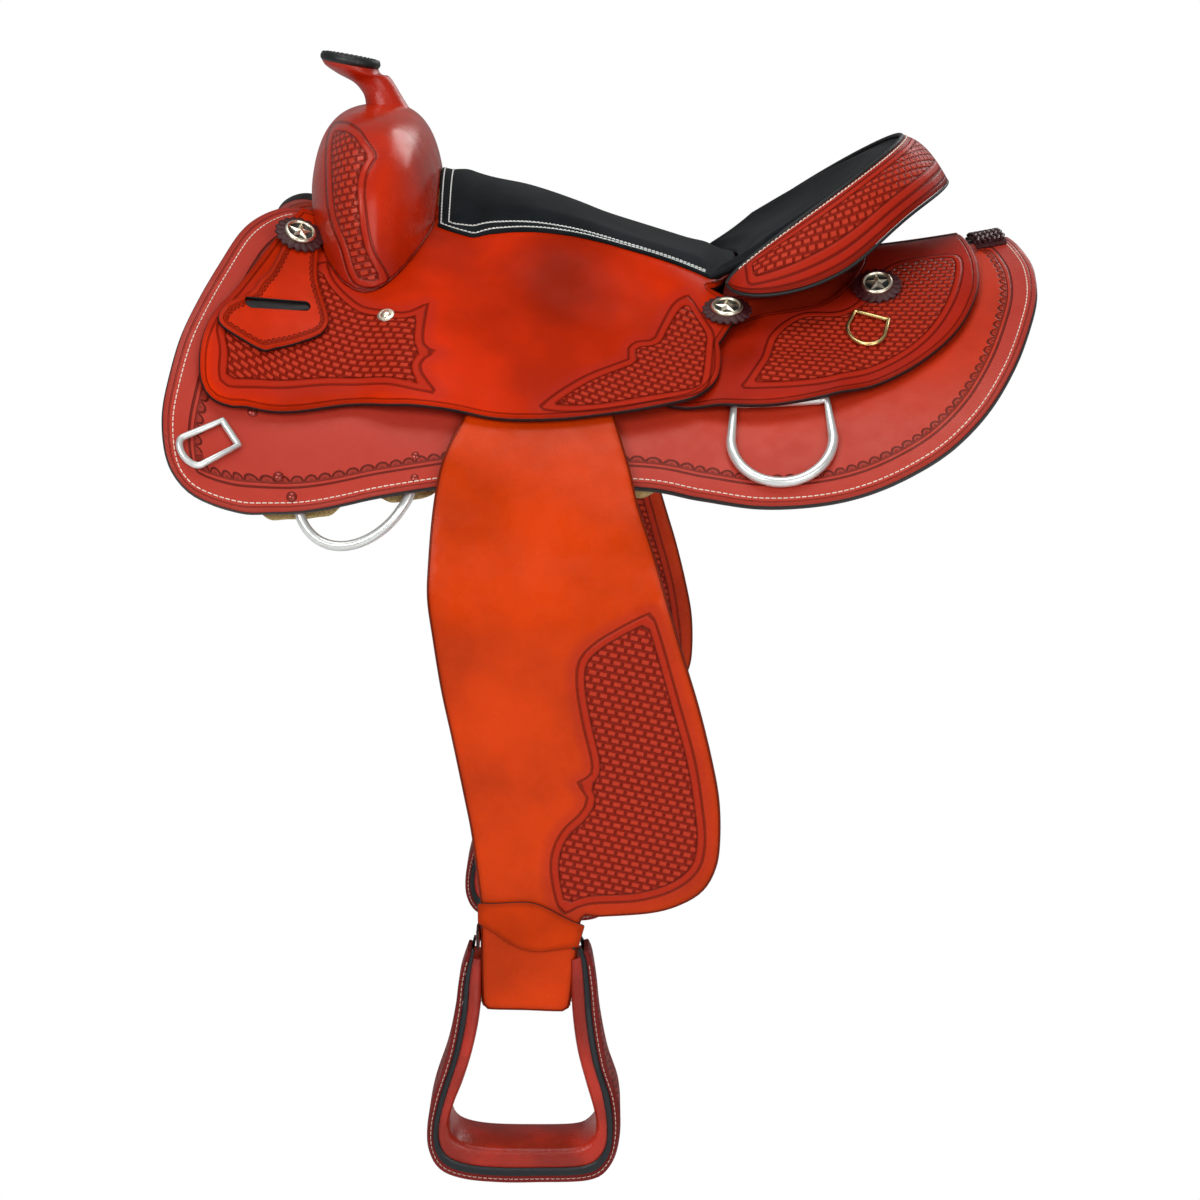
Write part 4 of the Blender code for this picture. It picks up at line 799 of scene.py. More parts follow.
# %% Make the skirts and the fleece
SKIRT = [(-260, 73), (-276, 85), (-292, 108), (-304, 134), (-316, 174), (-328, 215), (-338, 254),
         (-344, 293), (-347, 327), (-344, 355), (-337, 372), (-324, 381), (-307, 381),
         (-284, 375), (-260, 365), (-235, 360), (-186, 354), (-133, 347), (-57, 323), (31, 313),
         (79, 321), (126, 330), (174, 330), (213, 323), (250, 308), (283, 287), (313, 255),
         (337, 214), (354, 171), (365, 131), (368, 91), (365, 58), (358, 8, 1), (300, 12),
         (0, 30), (-150, 45), (-235, 58)]
skirt_line = pattern(SKIRT, 0.005)


def fleece_top(x, d):
    at_ring = ease((0.150 - np.abs(x + 0.205)) / 0.03) * ease((np.abs(d) - 0.275) / 0.03)
    return layer(x, d, 0.0122 - 0.0092 * at_ring)


def lumpy(points, amount, size, seed):
    """Small soft lumps from a few waves in changing directions."""
    rng = np.random.default_rng(seed)
    total = np.zeros(len(points))
    for k in range(14):
        way = rng.normal(size=3)
        way /= np.linalg.norm(way)
        wave = 2 * math.pi / (size * rng.uniform(0.6, 1.7))
        total += np.sin(points @ way * wave + rng.uniform(0, 6.3))
    return total / 5.0 * amount


wool = Finish("wool", dye(214, 186, 112), 0.95)
tufts = wool.noise(420.0, 4.0, 0.7)
wool.join(wool.shader.inputs["Base Color"], wool.mix(tufts, dye(150, 116, 52), dye(236, 212, 150)))
wool.join(wool.shader.inputs["Normal"], wool.bump(tufts, 0.003, 1.0))
wool_finish = wool.material
for side, sign in SIDES:
    skirt = leather(f"skirt leather {side}", flip(skirt_line, sign), skirt_top, 0.0075,
                    [skirt_finish, edge_dye], 0.008)
    place(skirt, "saddle", "skirt_leather", [f"skirt_{side}"])
    wool_line = even(inset(skirt_line, 0.0080, 0.005), 0.005, True)
    peeks = sum(ease((half - np.abs(wool_line[:, 0] - at)) / 0.012)
                for at, half in ((-0.236, 0.036), (-0.150, 0.026), (0.031, 0.014)))
    wool_line[:, 1] += 0.0095 * peeks * (wool_line[:, 1] > 0.29)
    flat, faces = fill(flip(wool_line, sign), (), 0.006)
    far, _ = to_edge(flat, flip(wool_line, sign))
    top = fleece_top(flat[:, 0], flat[:, 1])
    low = layer(flat[:, 0], flat[:, 1], 0.0004)
    way = np.stack([0 * flat[:, 0], np.sign(top[:, 1]), -0.8 + 0 * flat[:, 0]], 1)
    low = low + way * (lumpy(low, 0.0016, 0.010, 5) * (far < 0.004))[:, None]
    n = len(flat)
    faces = [tuple(f) for f in faces.tolist()]
    solid = faces + [tuple(i + n for i in reversed(f)) for f in faces]
    uses = {(f[k], f[(k + 1) % 3]) for f in faces for k in range(3)}
    solid += [(b, a, a + n, b + n) for a, b in sorted(uses) if (b, a) not in uses]
    wool_piece = new_object(f"woolskin {side}", np.concatenate([low, top]), solid, [wool_finish])
    wool_piece.data.shade_smooth()
    finer = wool_piece.modifiers.new("finer", "SUBSURF")
    finer.levels = finer.render_levels = 1
    place(wool_piece, "saddle", "fleece", [f"fleece_{side}"])
    seam_line = inset(flip(skirt_line, sign), 0.0078, 0.003)
    shown = seam_line[(np.abs(seam_line[:, 1]) > 0.085) | (seam_line[:, 0] > 0.335)]
    start = int(np.argmax(np.linalg.norm(shown - np.roll(shown, 1, axis=0), axis=1)))
    shown = np.roll(shown, -start, axis=0)
    p, n = on_surface(skirt_top, shown, closed=False)
    seam = threads(f"skirt stitching {side}", [p], [n], 0.0048, 0.0034, 0.0005, thread_finish,
                   high=0.00015)
    place(seam, "saddle", "skirt_leather")
print("skirt and fleece pieces:", len(MADE))

# %% [markdown]
# ## Seat leather, front and rear jockeys
# One broad leather runs from the front jockeys over the seat to the points behind the rider. On
# the real saddle it is wetted and pulled over the tree. Here it follows the raised seat formula.
# The rear jockeys are separate leathers that rise over the bar of the flank ring.

# %% Make the seat leather and the rear jockeys
JOCKEY = [(-260, 84), (-274, 120), (-287, 155), (-303, 196), (-317, 226), (-323, 246),
          (-325, 267), (-322, 290), (-313, 299), (-298, 297), (-277, 288), (-203, 272),
          (-157, 280), (-99, 282), (-46, 271), (2, 257), (50, 243), (78, 233), (94, 216),
          (98, 193), (97, 176, 1), (105, 160), (114, 139), (111, 120)]
FRONT_PANEL = [(-313, 232), (-310, 257), (-309, 277), (-302, 283), (-272, 268), (-231, 256),
               (-202, 254), (-173, 258), (-150, 266), (-131, 270, 1), (-144, 248), (-142, 236),
               (-133, 228, 1), (-143, 223), (-145, 206), (-144, 176, 1), (-159, 188), (-180, 182),
               (-200, 174), (-223, 153), (-231, 134, 1), (-253, 154), (-287, 189)]
SEAT_PANEL = [(-55, 263, 1), (-36, 262), (-3, 255), (38, 242), (80, 231), (88, 218), (92, 185),
              (92, 161), (74, 127, 1), (60, 139), (48, 160), (41, 174), (28, 177), (20, 186),
              (21, 198, 1), (0, 211), (-17, 223), (-38, 243)]
REAR = [(318, 5, 1), (322, 55), (322, 90), (316, 127), (298, 167), (271, 196), (235, 218),
        (190, 232), (139, 240), (95, 238), (51, 234), (41, 205), (70, 165), (130, 128),
        (190, 112), (222, 60), (230, 5, 1)]
REAR_PANEL = [(111, 223, 1), (115, 220), (131, 190), (142, 154), (168, 129), (204, 129),
              (229, 102), (247, 65), (277, 54), (309, 63), (303, 116), (280, 166), (246, 198),
              (198, 218), (163, 223)]
near_edge = pattern(JOCKEY, 0.006, closed=False)
angles = np.radians(np.arange(76, -77, -8))
crease_arc = np.column_stack([0.083 + 0.036 * np.cos(angles), 0.112 * np.sin(angles)])
front_cut = np.array([(-0.215, 0.084), (-0.170, 0.084), (-0.150, 0.05), (-0.140, 0.03),
                      (-0.138, 0.0)])
front_cut = even(np.concatenate([front_cut, flip(front_cut, -1)[::-1][1:]]), 0.008)
seat_line = np.concatenate([near_edge, crease_arc, flip(near_edge, -1)[::-1], flip(front_cut, -1)])
panels = [flip(pattern(p, 0.004), s) for p in (FRONT_PANEL, SEAT_PANEL) for _, s in SIDES]
seat_leather = leather("seat leather", seat_line, seat_top, SEAT_THICK, [jockey_finish, edge_dye],
                       0.0065, panels=panels)
place(seat_leather, "saddle", "saddle_leather", ["seat_jockey"])
rear_line, rear_panel = pattern(REAR, 0.005), pattern(REAR_PANEL, 0.004)
for side, sign in SIDES:
    rear = leather(f"rear jockey {side}", flip(rear_line, sign), rear_top, 0.0045,
                   [rear_shaded_finish, edge_dye], 0.0065, panels=[flip(rear_panel, sign)])
    place(rear, "saddle", "saddle_leather", [f"rear_jockey_{side}"])
print("seat leather points:", len(seat_leather.data.vertices))

# %% [markdown]
# ## Fenders, hobble straps and the latigo keeper
# The fender hangs between the rider's leg and the horse and carries the stirrup. Its lower neck
# folds round the stirrup bolt. A small strap, the hobble, holds the fold together. The keeper is
# a slotted leaf on the near front jockey where the end of the cinch strap is tucked in.

# %% Make the fenders, the hobble straps and the keeper
FENDER = [(-88, 222, 1), (-108, 282), (-117, 306), (-125, 332), (-130, 360), (-133, 391),
          (-134, 420), (-130, 452), (-124, 493), (-116, 533), (-108, 575), (-102, 608),
          (-98, 641), (-95, 668, 1), (-95, 740), (-94, 754), (-90, 758), (-60, 759), (-30, 760),
          (-25, 757), (-22, 742), (-18, 709), (-14, 681), (0, 680), (40, 677), (64, 670),
          (82, 658), (92, 639), (95, 616), (94, 583), (88, 550), (78, 509), (67, 472), (54, 428),
          (43, 388), (31, 342), (24, 304), (16, 271), (4, 222, 1)]
FENDER_PANEL = [(40, 431, 1), (23, 439), (-2, 454), (-16, 469), (-18, 491), (-13, 522), (-7, 548),
                (-7, 561), (-19, 569, 1), (-10, 581), (-16, 594), (-29, 607), (-37, 623),
                (-39, 642), (-34, 669), (-28, 678, 1), (-10, 669), (31, 666), (61, 656),
                (78, 640), (83, 618), (81, 591), (74, 548), (60, 497), (47, 451)]
HOBBLE = [(-97, 667, 1), (-81, 667), (-64, 666), (-52, 667), (-40, 672), (-26, 680),
          (-12, 686, 1), (-17, 704, 1), (-33, 706), (-46, 708), (-59, 707), (-71, 702),
          (-85, 692), (-97, 684, 1)]
KEEPER = [(-262, 112), (-278, 164), (-286, 181), (-293, 198), (-309, 217), (-315, 232),
          (-312, 239), (-297, 241), (-278, 241), (-266, 234), (-246, 223), (-228, 212),
          (-222, 202), (-223, 193), (-229, 179), (-235, 165), (-238, 152), (-240, 132),
          (-244, 112)]
fender_line, fender_panel = pattern(FENDER, 0.005), pattern(FENDER_PANEL, 0.004)
hobble_line = pattern(HOBBLE, 0.004)
hobble_finish = leather_finish("hobble leather", RED_ORANGE, None, ())
keeper_finish = leather_finish("keeper leather", ORANGE, None, [(0.0040, 0.0003, 0.5)],
                               scallops=(0.0050, 0.0025, 0.0052))
NECK_FRONT, NECK_REAR, BAND_LOW, BAND_HIGH = -0.0985, -0.0195, -0.4905, 0.016


def hobble_top(x, d):
    return hanging(x, d, LIFT["fender"] + 0.0036)


for side, sign in SIDES:
    body = f"fender_{side}_body"
    fender = leather(f"fender leather {side}", flip(fender_line, sign), fender_top, 0.0035,
                     [fender_finish, edge_dye], 0.0075, panels=[flip(fender_panel, sign)])
    place(fender, body, "fender_leather", [f"fender_{side}"])
    hobble = leather(f"hobble strap {side}", flip(hobble_line, sign), hobble_top, 0.003,
                     [hobble_finish, edge_dye], 0.006)
    place(hobble, body, "saddle_leather", [f"hobble_strap_{side}"])
    low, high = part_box(f"hobble_strap_{side}")
    front_y = float(abs(hobble_top(np.array(-0.05), np.array(0.687))[1])) - 0.0004
    back_y = min(abs(low[1]), abs(high[1]))
    corners = np.array([(NECK_FRONT, front_y), (NECK_FRONT, back_y), (NECK_REAR, back_y),
                        (NECK_REAR, front_y)])
    loop = pattern([(x * 1000, y * 1000) for x, y in even(corners, 0.010, False)], 0.003, False)

    def band(u, v):
        run = np.linspace(0, 1, len(loop))
        x, y = np.interp(u, run, loop[:, 0]), np.interp(u, run, loop[:, 1])
        return np.stack([x, -sign * y, BAND_LOW + BAND_HIGH * v], -1)

    wrap, _, _ = patch(f"hobble band {side}", band, 40, 3, [hobble_finish, edge_dye], 0.0026,
                       (-1, 0, 0))
    place(wrap, body, "saddle_leather")

a, b = np.array((-0.292, 0.207)), np.array((-0.244, 0.189))
turn = math.atan2(*(b - a)[::-1])
slot_line = np.array([c + 0.0042 * np.array((math.cos(t), math.sin(t)))
                      for c, first in ((b, turn - math.pi / 2), (a, turn + math.pi / 2))
                      for t in first + np.linspace(0, math.pi, 9)])
KEEPER_LIFT = 0.0349
keeper = leather("latigo keeper leaf", pattern(KEEPER, 0.003), at_height(KEEPER_LIFT), 0.0040,
                 [keeper_finish, edge_dye], 0.004, holes=[slot_line])
place(keeper, "saddle", "saddle_leather", ["latigo_keeper"])
# A thin black sheet under the keeper's slot is painted shade: it darkens the inside of the slot.
wider_slot = slot_line + np.sign(slot_line - slot_line.mean(0)) * 0.0035
slot_shade = leather("latigo keeper lining", wider_slot, at_height(KEEPER_LIFT - 0.0030), 0.0008,
                 [edge_dye], 0.006, rim=0.0002)
place(slot_shade, "saddle", "black_leather")
print("leather pieces so far:", len(MADE))

# %% [markdown]
# ## The swell and the horn
# The swell is a wooden fork with wet leather drawn over it until it fits without a fold. The
# leather's lower edge follows the seat leather it stands on. Its surface is a rounded box in
# plan that closes to a dome; each column of points stops where it meets the seat leather.

# %% Make the swell cover
SWELL_X, SHOULDER, TOP = -0.192, 0.030, 0.157
HALF_DEEP, HALF_WIDE, PLAN, CROWN = 0.0575, 0.1725, 2.15, 3.2


def dome(angle, t):
    """A place on the swell: t goes from 0 at the top over the shoulder to 2 at the lowest."""
    c, s = np.cos(angle), np.sin(angle)
    radius = (np.abs(c) ** PLAN + np.abs(s) ** PLAN) ** (-1 / PLAN)
    rise = np.where(t < 1, np.cos(t * math.pi / 2), 0.0)
    share = np.clip(rise, 0, 1)
    scale = np.where(t < 1, (1 - share**CROWN) ** (1 / CROWN), 1.0)
    z = np.where(t < 1, SHOULDER + (TOP - SHOULDER) * share, SHOULDER - (t - 1) * 0.10)
    x = SWELL_X + c * radius * HALF_DEEP * scale
    y = s * radius * HALF_WIDE * scale
    far = np.hypot(x + 0.184, y * 0.8)
    z = z + 0.004 * np.exp(-((far / 0.036) ** 2))
    return np.stack([x, y, z], -1)


COLUMNS, ROWS = 112, 40
swell_angle = np.linspace(0, 2 * math.pi, COLUMNS, endpoint=False)
steps = np.concatenate([np.linspace(0.0, 0.55, 40), np.linspace(0.56, 1, 60),
                        np.linspace(1.01, 1.75, 60)])
trial = dome(swell_angle[:, None], steps[None, :])
ground = seat_height(np.clip(trial[..., 0].ravel(), -0.30, 0.1), np.abs(trial[..., 1].ravel()))
ground = ground.reshape(trial.shape[:2]) + 0.0008
points = []
for i in range(COLUMNS):
    under = np.nonzero(trial[i, :, 2] < ground[i])[0]
    last = steps[under[0]] if len(under) else steps[-1]
    run = dome(np.full(400, swell_angle[i]), np.linspace(0.004, last, 400))
    gap = run_of(run)
    at = np.linspace(0, gap[-1], ROWS + 1)
    points.append(np.stack([np.interp(at, gap, run[:, k]) for k in range(3)], 1))
points = np.array(points)
ring = run_of(points[:, 24, :])
flat_u = np.repeat(ring[:, None], ROWS + 1, 1)
height = points[..., 2]
swell_finish = leather_finish("swell leather", dye(192, 42, 8), STAMPED, [(0.003, 0.0003, 0.3)],
                              shine=0.36, rough=0.22, dark_edge=0.6)
swell = new_object("swell leather", points.reshape(-1, 3), grid_faces(COLUMNS, ROWS, True),
                   [swell_finish, edge_dye])
swell_panel = pattern([(-227, 143), (-209, 148), (-196, 142, 1), (-181, 124, 1), (-190, 106),
                       (-189, 77), (-184, 51), (-172, 22), (-200, 22), (-212, 52), (-222, 76),
                       (-226, 110)], 0.004)
side_view = points.reshape(-1, 3)[:, [0, 2]]
far, at = to_edge(side_view, swell_panel)
facing = np.abs(points.reshape(-1, 3)[:, 1]) > 0.03
write_values(swell, "panel", np.where(within(side_view, swell_panel) & facing, far, -far))
write_values(swell, "flat", np.column_stack([flat_u.ravel(), height.ravel(), 0 * height.ravel()]))
low_gap = points[:, -1:, :] - points
write_values(swell, "edge", np.linalg.norm(low_gap, axis=2).ravel())
write_values(swell, "along", flat_u.ravel())
work = bmesh.new()
work.from_mesh(swell.data)
bmesh.ops.recalc_face_normals(work, faces=work.faces)
top_face = max(work.faces, key=lambda f: f.calc_center_median().z)
if top_face.normal.z < 0:
    bmesh.ops.reverse_faces(work, faces=work.faces)
open_top = [e for e in work.edges if e.is_boundary and e.verts[0].co.z > 0.12]
bmesh.ops.contextual_create(work, geom=open_top)
work.to_mesh(swell.data)
work.free()
thicken(swell, 0.004)
tunnel = bpy.data.meshes.new("gullet")
work = bmesh.new()
bmesh.ops.create_cone(work, cap_ends=True, segments=64, radius1=1.0, radius2=1.0, depth=0.40,
                      matrix=Matrix.Translation((SWELL_X, 0, 0))
                      @ Matrix.Diagonal((1, 0.058, 0.098, 1))
                      @ Matrix.Rotation(math.pi / 2, 4, "Y"))
work.to_mesh(tunnel)
work.free()
tunnel_object = add("gullet", tunnel)
opening = swell.modifiers.new("gullet", "BOOLEAN")
opening.operation, opening.solver, opening.object = "DIFFERENCE", "EXACT", tunnel_object
bpy.context.view_layer.update()
whole = bpy.data.meshes.new_from_object(swell.evaluated_get(bpy.context.evaluated_depsgraph_get()))
swell.modifiers.clear()
swell.data = whole
bpy.data.objects.remove(tunnel_object, do_unlink=True)
soften(swell, 0.0010)
place(swell, "saddle", "saddle_leather", ["swell_cover"])
print("swell points:", len(swell.data.vertices), "lowest:", round(float(points[:, -1, 2].min()), 3))

# %% [markdown]
# ### The horn
# The horn is an iron post padded and sewn into leather, with a flat black cap that leans
# forward. Its neck is lofted through rings that lean more and more; the black binding of the
# cap is a turned rim.

# %% Make the horn
RINGS = [((-0.1815, 0, 0.1330), 0, 0.0310), ((-0.1822, 0, 0.1460), -5, 0.0232),
         ((-0.1842, 0, 0.1550), -10, 0.0186), ((-0.1872, 0, 0.1645), -14, 0.0157),
         ((-0.1912, 0, 0.1738), -17, 0.0142), ((-0.1975, 0, 0.1812), -8, 0.0158),
         ((-0.2070, 0, 0.1858), 4, 0.0212), ((-0.2130, 0, 0.1897), 9, 0.0240),
         ((-0.2153, 0, 0.1938), 10.5, 0.0247)]
table = np.array([(*c, lean, r) for c, lean, r in RINGS])


def smooth_rows(rows, at):
    """Read rows of numbers along a smooth curve."""
    i = np.clip(at.astype(int), 0, len(rows) - 2)
    t = (at - i)[:, None]
    p0, p1 = rows[np.maximum(i - 1, 0)], rows[i]
    p2, p3 = rows[i + 1], rows[np.minimum(i + 2, len(rows) - 1)]
    return 0.5 * (2 * p1 + (p2 - p0) * t + (2 * p0 - 5 * p1 + 4 * p2 - p3) * t**2
                  + (3 * p1 - p0 - 3 * p2 + p3) * t**3)


def horn_surface(u, v):
    rows = smooth_rows(table, v * (len(RINGS) - 1) * 0.99999)
    lean = np.radians(rows[:, 3])
    c, s = np.cos(2 * math.pi * u), np.sin(2 * math.pi * u)
    r = rows[:, 4]
    return rows[:, :3] + np.stack([c * r * np.cos(lean), s * r, -c * r * np.sin(lean)], 1)


horn_finish = plain_finish("horn leather", dye(176, 34, 8), 0.24, grain=0.0005, scale=500)
horn, _, _ = patch("horn leather", horn_surface, 48, 48, [horn_finish], out=(0, 0, 0), closed=True)
work = bmesh.new()
work.from_mesh(horn.data)
bmesh.ops.remove_doubles(work, verts=work.verts, dist=1e-6)
for end in (lambda z: z < 0.150, lambda z: z > 0.180):
    loop = [e for e in work.edges if e.is_boundary and end(e.verts[0].co.z)]
    bmesh.ops.contextual_create(work, geom=loop)
bmesh.ops.recalc_face_normals(work, faces=work.faces)
work.to_mesh(horn.data)
work.free()
horn.data.shade_smooth()
place(horn, "saddle", "saddle_leather", ["horn"])


def turned(name, profile, steps, material, matrix):
    """Turn a profile of radius and height about its own upright axis."""
    rows = np.array(profile)
    angle = np.linspace(0, 2 * math.pi, steps, endpoint=False)
    pts = [(r * math.cos(a), r * math.sin(a), z) for a in angle for r, z in rows]
    obj = new_object(name, pts, grid_faces(steps, len(rows) - 1, True), [material])
    turn_outward(obj, True, matrix, 40)
    return obj


black_finish = plain_finish("black cap leather", dye(22, 26, 26), 0.42, grain=0.0005, scale=420,
                            level=0.5)
tilt = Matrix.Translation((-0.2155, 0, 0.1945)) @ Matrix.Rotation(math.radians(10.5), 4, "Y")
cap_profile = [(0.0, 0.0075), (0.012, 0.0072), (0.0205, 0.0064), (0.0224, 0.0060),
               (0.0232, 0.0066), (0.0246, 0.0066), (0.0256, 0.0052), (0.0262, 0.0030),
               (0.0258, 0.0008), (0.0244, -0.0008), (0.0226, -0.0012), (0.0, -0.0012)]
cap = turned("horn cap leather", cap_profile, 64, black_finish, tilt)
place(cap, "saddle", "black_leather", ["horn_cap"])
circle = np.linspace(0, 2 * math.pi, 90)
rim_points = np.array([tilt @ Vector((0.0214 * math.cos(t), 0.0214 * math.sin(t), 0.0064))
                       for t in circle])
rim_look = np.tile(np.array(tilt.to_3x3() @ Vector((0, 0, 1))), (len(circle), 1))
place(threads("horn cap stitching", [rim_points], [rim_look], 0.0042, 0.0028, 0.0004,
              plain_finish("black thread", dye(12, 12, 12), 0.6)), "saddle", "black_leather")
print("horn top:", round(max(v.co.z for v in cap.data.vertices), 4))

# %% [markdown]
# ## The suede seat and the cantle
# The seat is foam under black suede, pulled down along its edge by two rows of stitching, so its
# crown is full and its border is drawn in. Both pads are closed forms whose thickness grows
# from the seam inward. The cantle's leather roll lies behind them with its own stamped band.

# %% Make the seat pad and the cantle pad
def full(t, power=2.4):
    """A rounded shoulder: 0 at an edge, 1 inside."""
    t = np.clip(t, 0, 1)
    return (1 - (1 - t) ** power) ** (1 / power)


CREASE_X, CREASE_DEEP, CREASE_HALF = 0.085, 0.036, 0.112     # where the seat meets the cantle
PAD_LONG, PAD_WIDE, CANTLE_LONG, CANTLE_WIDE = 0.245, 0.20, 0.42, 0.13
RIM_DEEP, RIM_HALF, ROLL_WIDE = 0.157, 0.135, 0.039


def seat_plan(u, v):
    across = (v - 0.5) * 2
    share = across * seat_row(0.09, 2) / CREASE_HALF
    rear = CREASE_X + CREASE_DEEP * np.sqrt(np.maximum(0.0, 1 - share**2))
    x = -0.137 + (rear - 0.0035 + 0.137) * u
    corner = 0.009 * ease((-0.088 - x) / 0.045)
    return x, across * (seat_row(x, 2) - 0.0005 + corner)


def border_distance(u, v, long, wide):
    return np.minimum(np.minimum(u, 1 - u) * long, np.minimum(v, 1 - v) * wide)


def pad_thickness(u, v):
    """Thin at the stitched border, full in the middle, with two shallow sewn lines."""
    from_edge = border_distance(u, v, PAD_LONG, PAD_WIDE)
    border = full(from_edge / 0.004)
    crown = ease((from_edge - 0.003) / 0.022)
    dent = 0.0006 * (np.exp(-((from_edge - 0.0028) / 0.0011) ** 2)
                     + np.exp(-((from_edge - 0.0095) / 0.0013) ** 2))
    return 0.0012 + 0.0022 * border + 0.0066 * crown - dent


def seat_pad_top(u, v):
    x, half = seat_plan(u, v)
    return np.stack([x, half, seat_height(x, np.abs(half)) + 0.0005 + pad_thickness(u, v)], -1)


def seat_pad_under(u, v):
    x, half = seat_plan(u, v)
    return np.stack([x, half, seat_height(x, np.abs(half)) + 0.0003], -1)


def spaced(count, bunch=0.8):
    """Steps from 0 to 1 that lie closer together near both ends."""
    t = np.linspace(0, 1, count + 1)
    return (1 - bunch) * t + bunch * (1 - np.cos(t * math.pi)) / 2


def pad(name, top, under, nu, nv, material):
    """A closed pad between two surfaces."""
    u, v = np.meshgrid(spaced(nu), spaced(nv), indexing="ij")
    u, v = u.ravel(), v.ravel()
    a, b = top(u, v), under(u, v)
    n = len(u)
    faces = grid_faces(nu, nv)
    solid = faces + [tuple(i + n for i in reversed(f)) for f in faces]
    rim = list(range(nv + 1)) + [i * (nv + 1) + nv for i in range(1, nu + 1)]
    rim += [nu * (nv + 1) + k for k in range(nv - 1, -1, -1)]
    rim += [i * (nv + 1) for i in range(nu - 1, 0, -1)]
    solid += [(p, q, q + n, p + n) for p, q in zip(rim, rim[1:] + rim[:1])]
    obj = new_object(name, np.concatenate([a, b]), solid, [material])
    turn_outward(obj, weld=True)
    return obj


suede = Finish("black suede", dye(24, 30, 33), 0.95)
nap = suede.noise(900.0, 3.0, 0.7)
patches = suede.spread(suede.noise(14.0, 4.0, 0.6), 0.3, 0.75)
suede.join(suede.shader.inputs["Base Color"], suede.mix(patches, dye(8, 13, 15), dye(24, 30, 33)))
suede.join(suede.shader.inputs["Normal"], suede.bump(nap, 0.0006, 0.8))
suede.shader.inputs["Sheen Weight"].default_value = 0.04
suede.shader.inputs["Sheen Roughness"].default_value = 0.6
suede.shader.inputs["Specular IOR Level"].default_value = 0.1
suede_finish = suede.material
seat_pad = pad("suede seat pad", seat_pad_top, seat_pad_under, 72, 64, suede_finish)
place(seat_pad, "saddle", "black_suede", ["seat_pad"])


def rim_line(angle):
    c = np.maximum(0.0, np.cos(angle))
    return np.stack([0.105 + RIM_DEEP * c, RIM_HALF * np.sin(angle), 0.019 + 0.110 * c**0.9], -1)


def crease_line(angle):
    x = CREASE_X + CREASE_DEEP * np.cos(angle)
    half = CREASE_HALF * np.sin(angle)
    return np.stack([x, half, seat_height(x, np.abs(half)) + 0.0012], -1)


def cantle_face(u, v, out):
    angle = np.radians(80.0 * (2 * u - 1))
    low, high = crease_line(angle), rim_line(angle)
    v_ = v[:, None]
    point = low + (high - low) * v_
    hollow = 0.008 * np.sin(math.pi * v) * np.maximum(0.0, np.cos(angle))
    s = 0.01
    across = ((crease_line(angle + s) - crease_line(angle - s)) * (1 - v_)
              + (rim_line(angle + s) - rim_line(angle - s)) * v_)
    normal = np.cross(across, high - low)
    normal /= np.linalg.norm(normal, axis=1, keepdims=True)
    normal *= np.where(normal[:, 2:] > 0, 1, -1)
    return point + normal * (out - hollow)[:, None]


def cantle_top(u, v):
    from_edge = border_distance(u, v, CANTLE_LONG, CANTLE_WIDE)
    border, crown = full(from_edge / 0.004), ease((from_edge - 0.002) / 0.02)
    return cantle_face(u, v, 0.0012 + 0.0026 * border + 0.0058 * crown)


cantle_pad = pad("suede cantle pad", cantle_top, lambda u, v: cantle_face(u, v, 0.0005 + 0 * u),
                 72, 30, suede_finish)
place(cantle_pad, "saddle", "black_suede", ["cantle_pad"])


def surface_line(surface, us, vs):
    """Points and outward looks along a line drawn on a surface of rows and columns."""
    us, vs = np.asarray(us, float), np.asarray(vs, float)
    p = surface(us, vs)
    s = 1e-3
    inside_u, inside_v = np.clip(us, s, 1 - s), np.clip(vs, s, 1 - s)
    a = surface(inside_u + s, inside_v) - surface(inside_u - s, inside_v)
    b = surface(inside_u, inside_v + s) - surface(inside_u, inside_v - s)
    n = np.cross(a, b)
    n /= np.linalg.norm(n, axis=1, keepdims=True)
    return p, n * np.where(n[:, 2:] < 0, -1, 1)


seams = []
for off, back_off in ((0.0026, 0.0026), (0.0095, 0.0050)):
    run = np.linspace(0, 1, 60)
    u0, v0 = off / PAD_LONG, off / PAD_WIDE
    v1 = v0 + (back_off / PAD_WIDE - v0) * run
    u_run = u0 + (0.980 - u0) * run
    for flip_side in (0, 1):
        seams.append(surface_line(seat_pad_top, u_run, np.abs(flip_side - v1)))
    seams.append(surface_line(seat_pad_top, np.full(60, u0), v0 + (1 - 2 * v0) * run))
place(threads("seat stitching", [s[0] for s in seams], [s[1] for s in seams], 0.0035, 0.0026,
              0.0006, seat_thread), "saddle", "black_suede")
print("seat pad height:", round(float(seat_pad_top(np.array([0.05]), np.array([0.5]))[0, 2]), 4))

# %% [markdown]
# ### The roll behind the cantle
# The roll is two leathers sewn edge to edge: the visible one is stamped in the middle and bound
# with black along both edges. It keeps its width almost to its ends and rounds off at the seat.

# %% Make the cantle roll and its bindings
def roll_share(u):
    """The roll keeps its width almost to its ends, where it rounds off."""
    return full((1 - np.abs(2 * u - 1)) * 90 / 22)


def roll_place(u, v, down=0.0):
    angle = np.radians(-90 + 180 * u)
    out = np.stack([np.cos(angle) / RIM_DEEP, np.sin(angle) / RIM_HALF, 0 * u], -1)
    out /= np.linalg.norm(out, axis=1, keepdims=True)
    share = roll_share(u)
    drop = 0.032 + 0.013 * np.exp(-(((np.abs(np.degrees(angle)) - 60) / 15) ** 2))
    crown = 0.0026 * np.sin(math.pi * np.clip(v, 0, 1)) * share
    place_of = rim_line(angle) + out * (ROLL_WIDE * share * v)[:, None]
    place_of[:, 2] += (0.0045 * (1 - v) * share - drop * share**2 * (0.30 * v + 0.70 * v * v)
                       + crown - down)
    return place_of


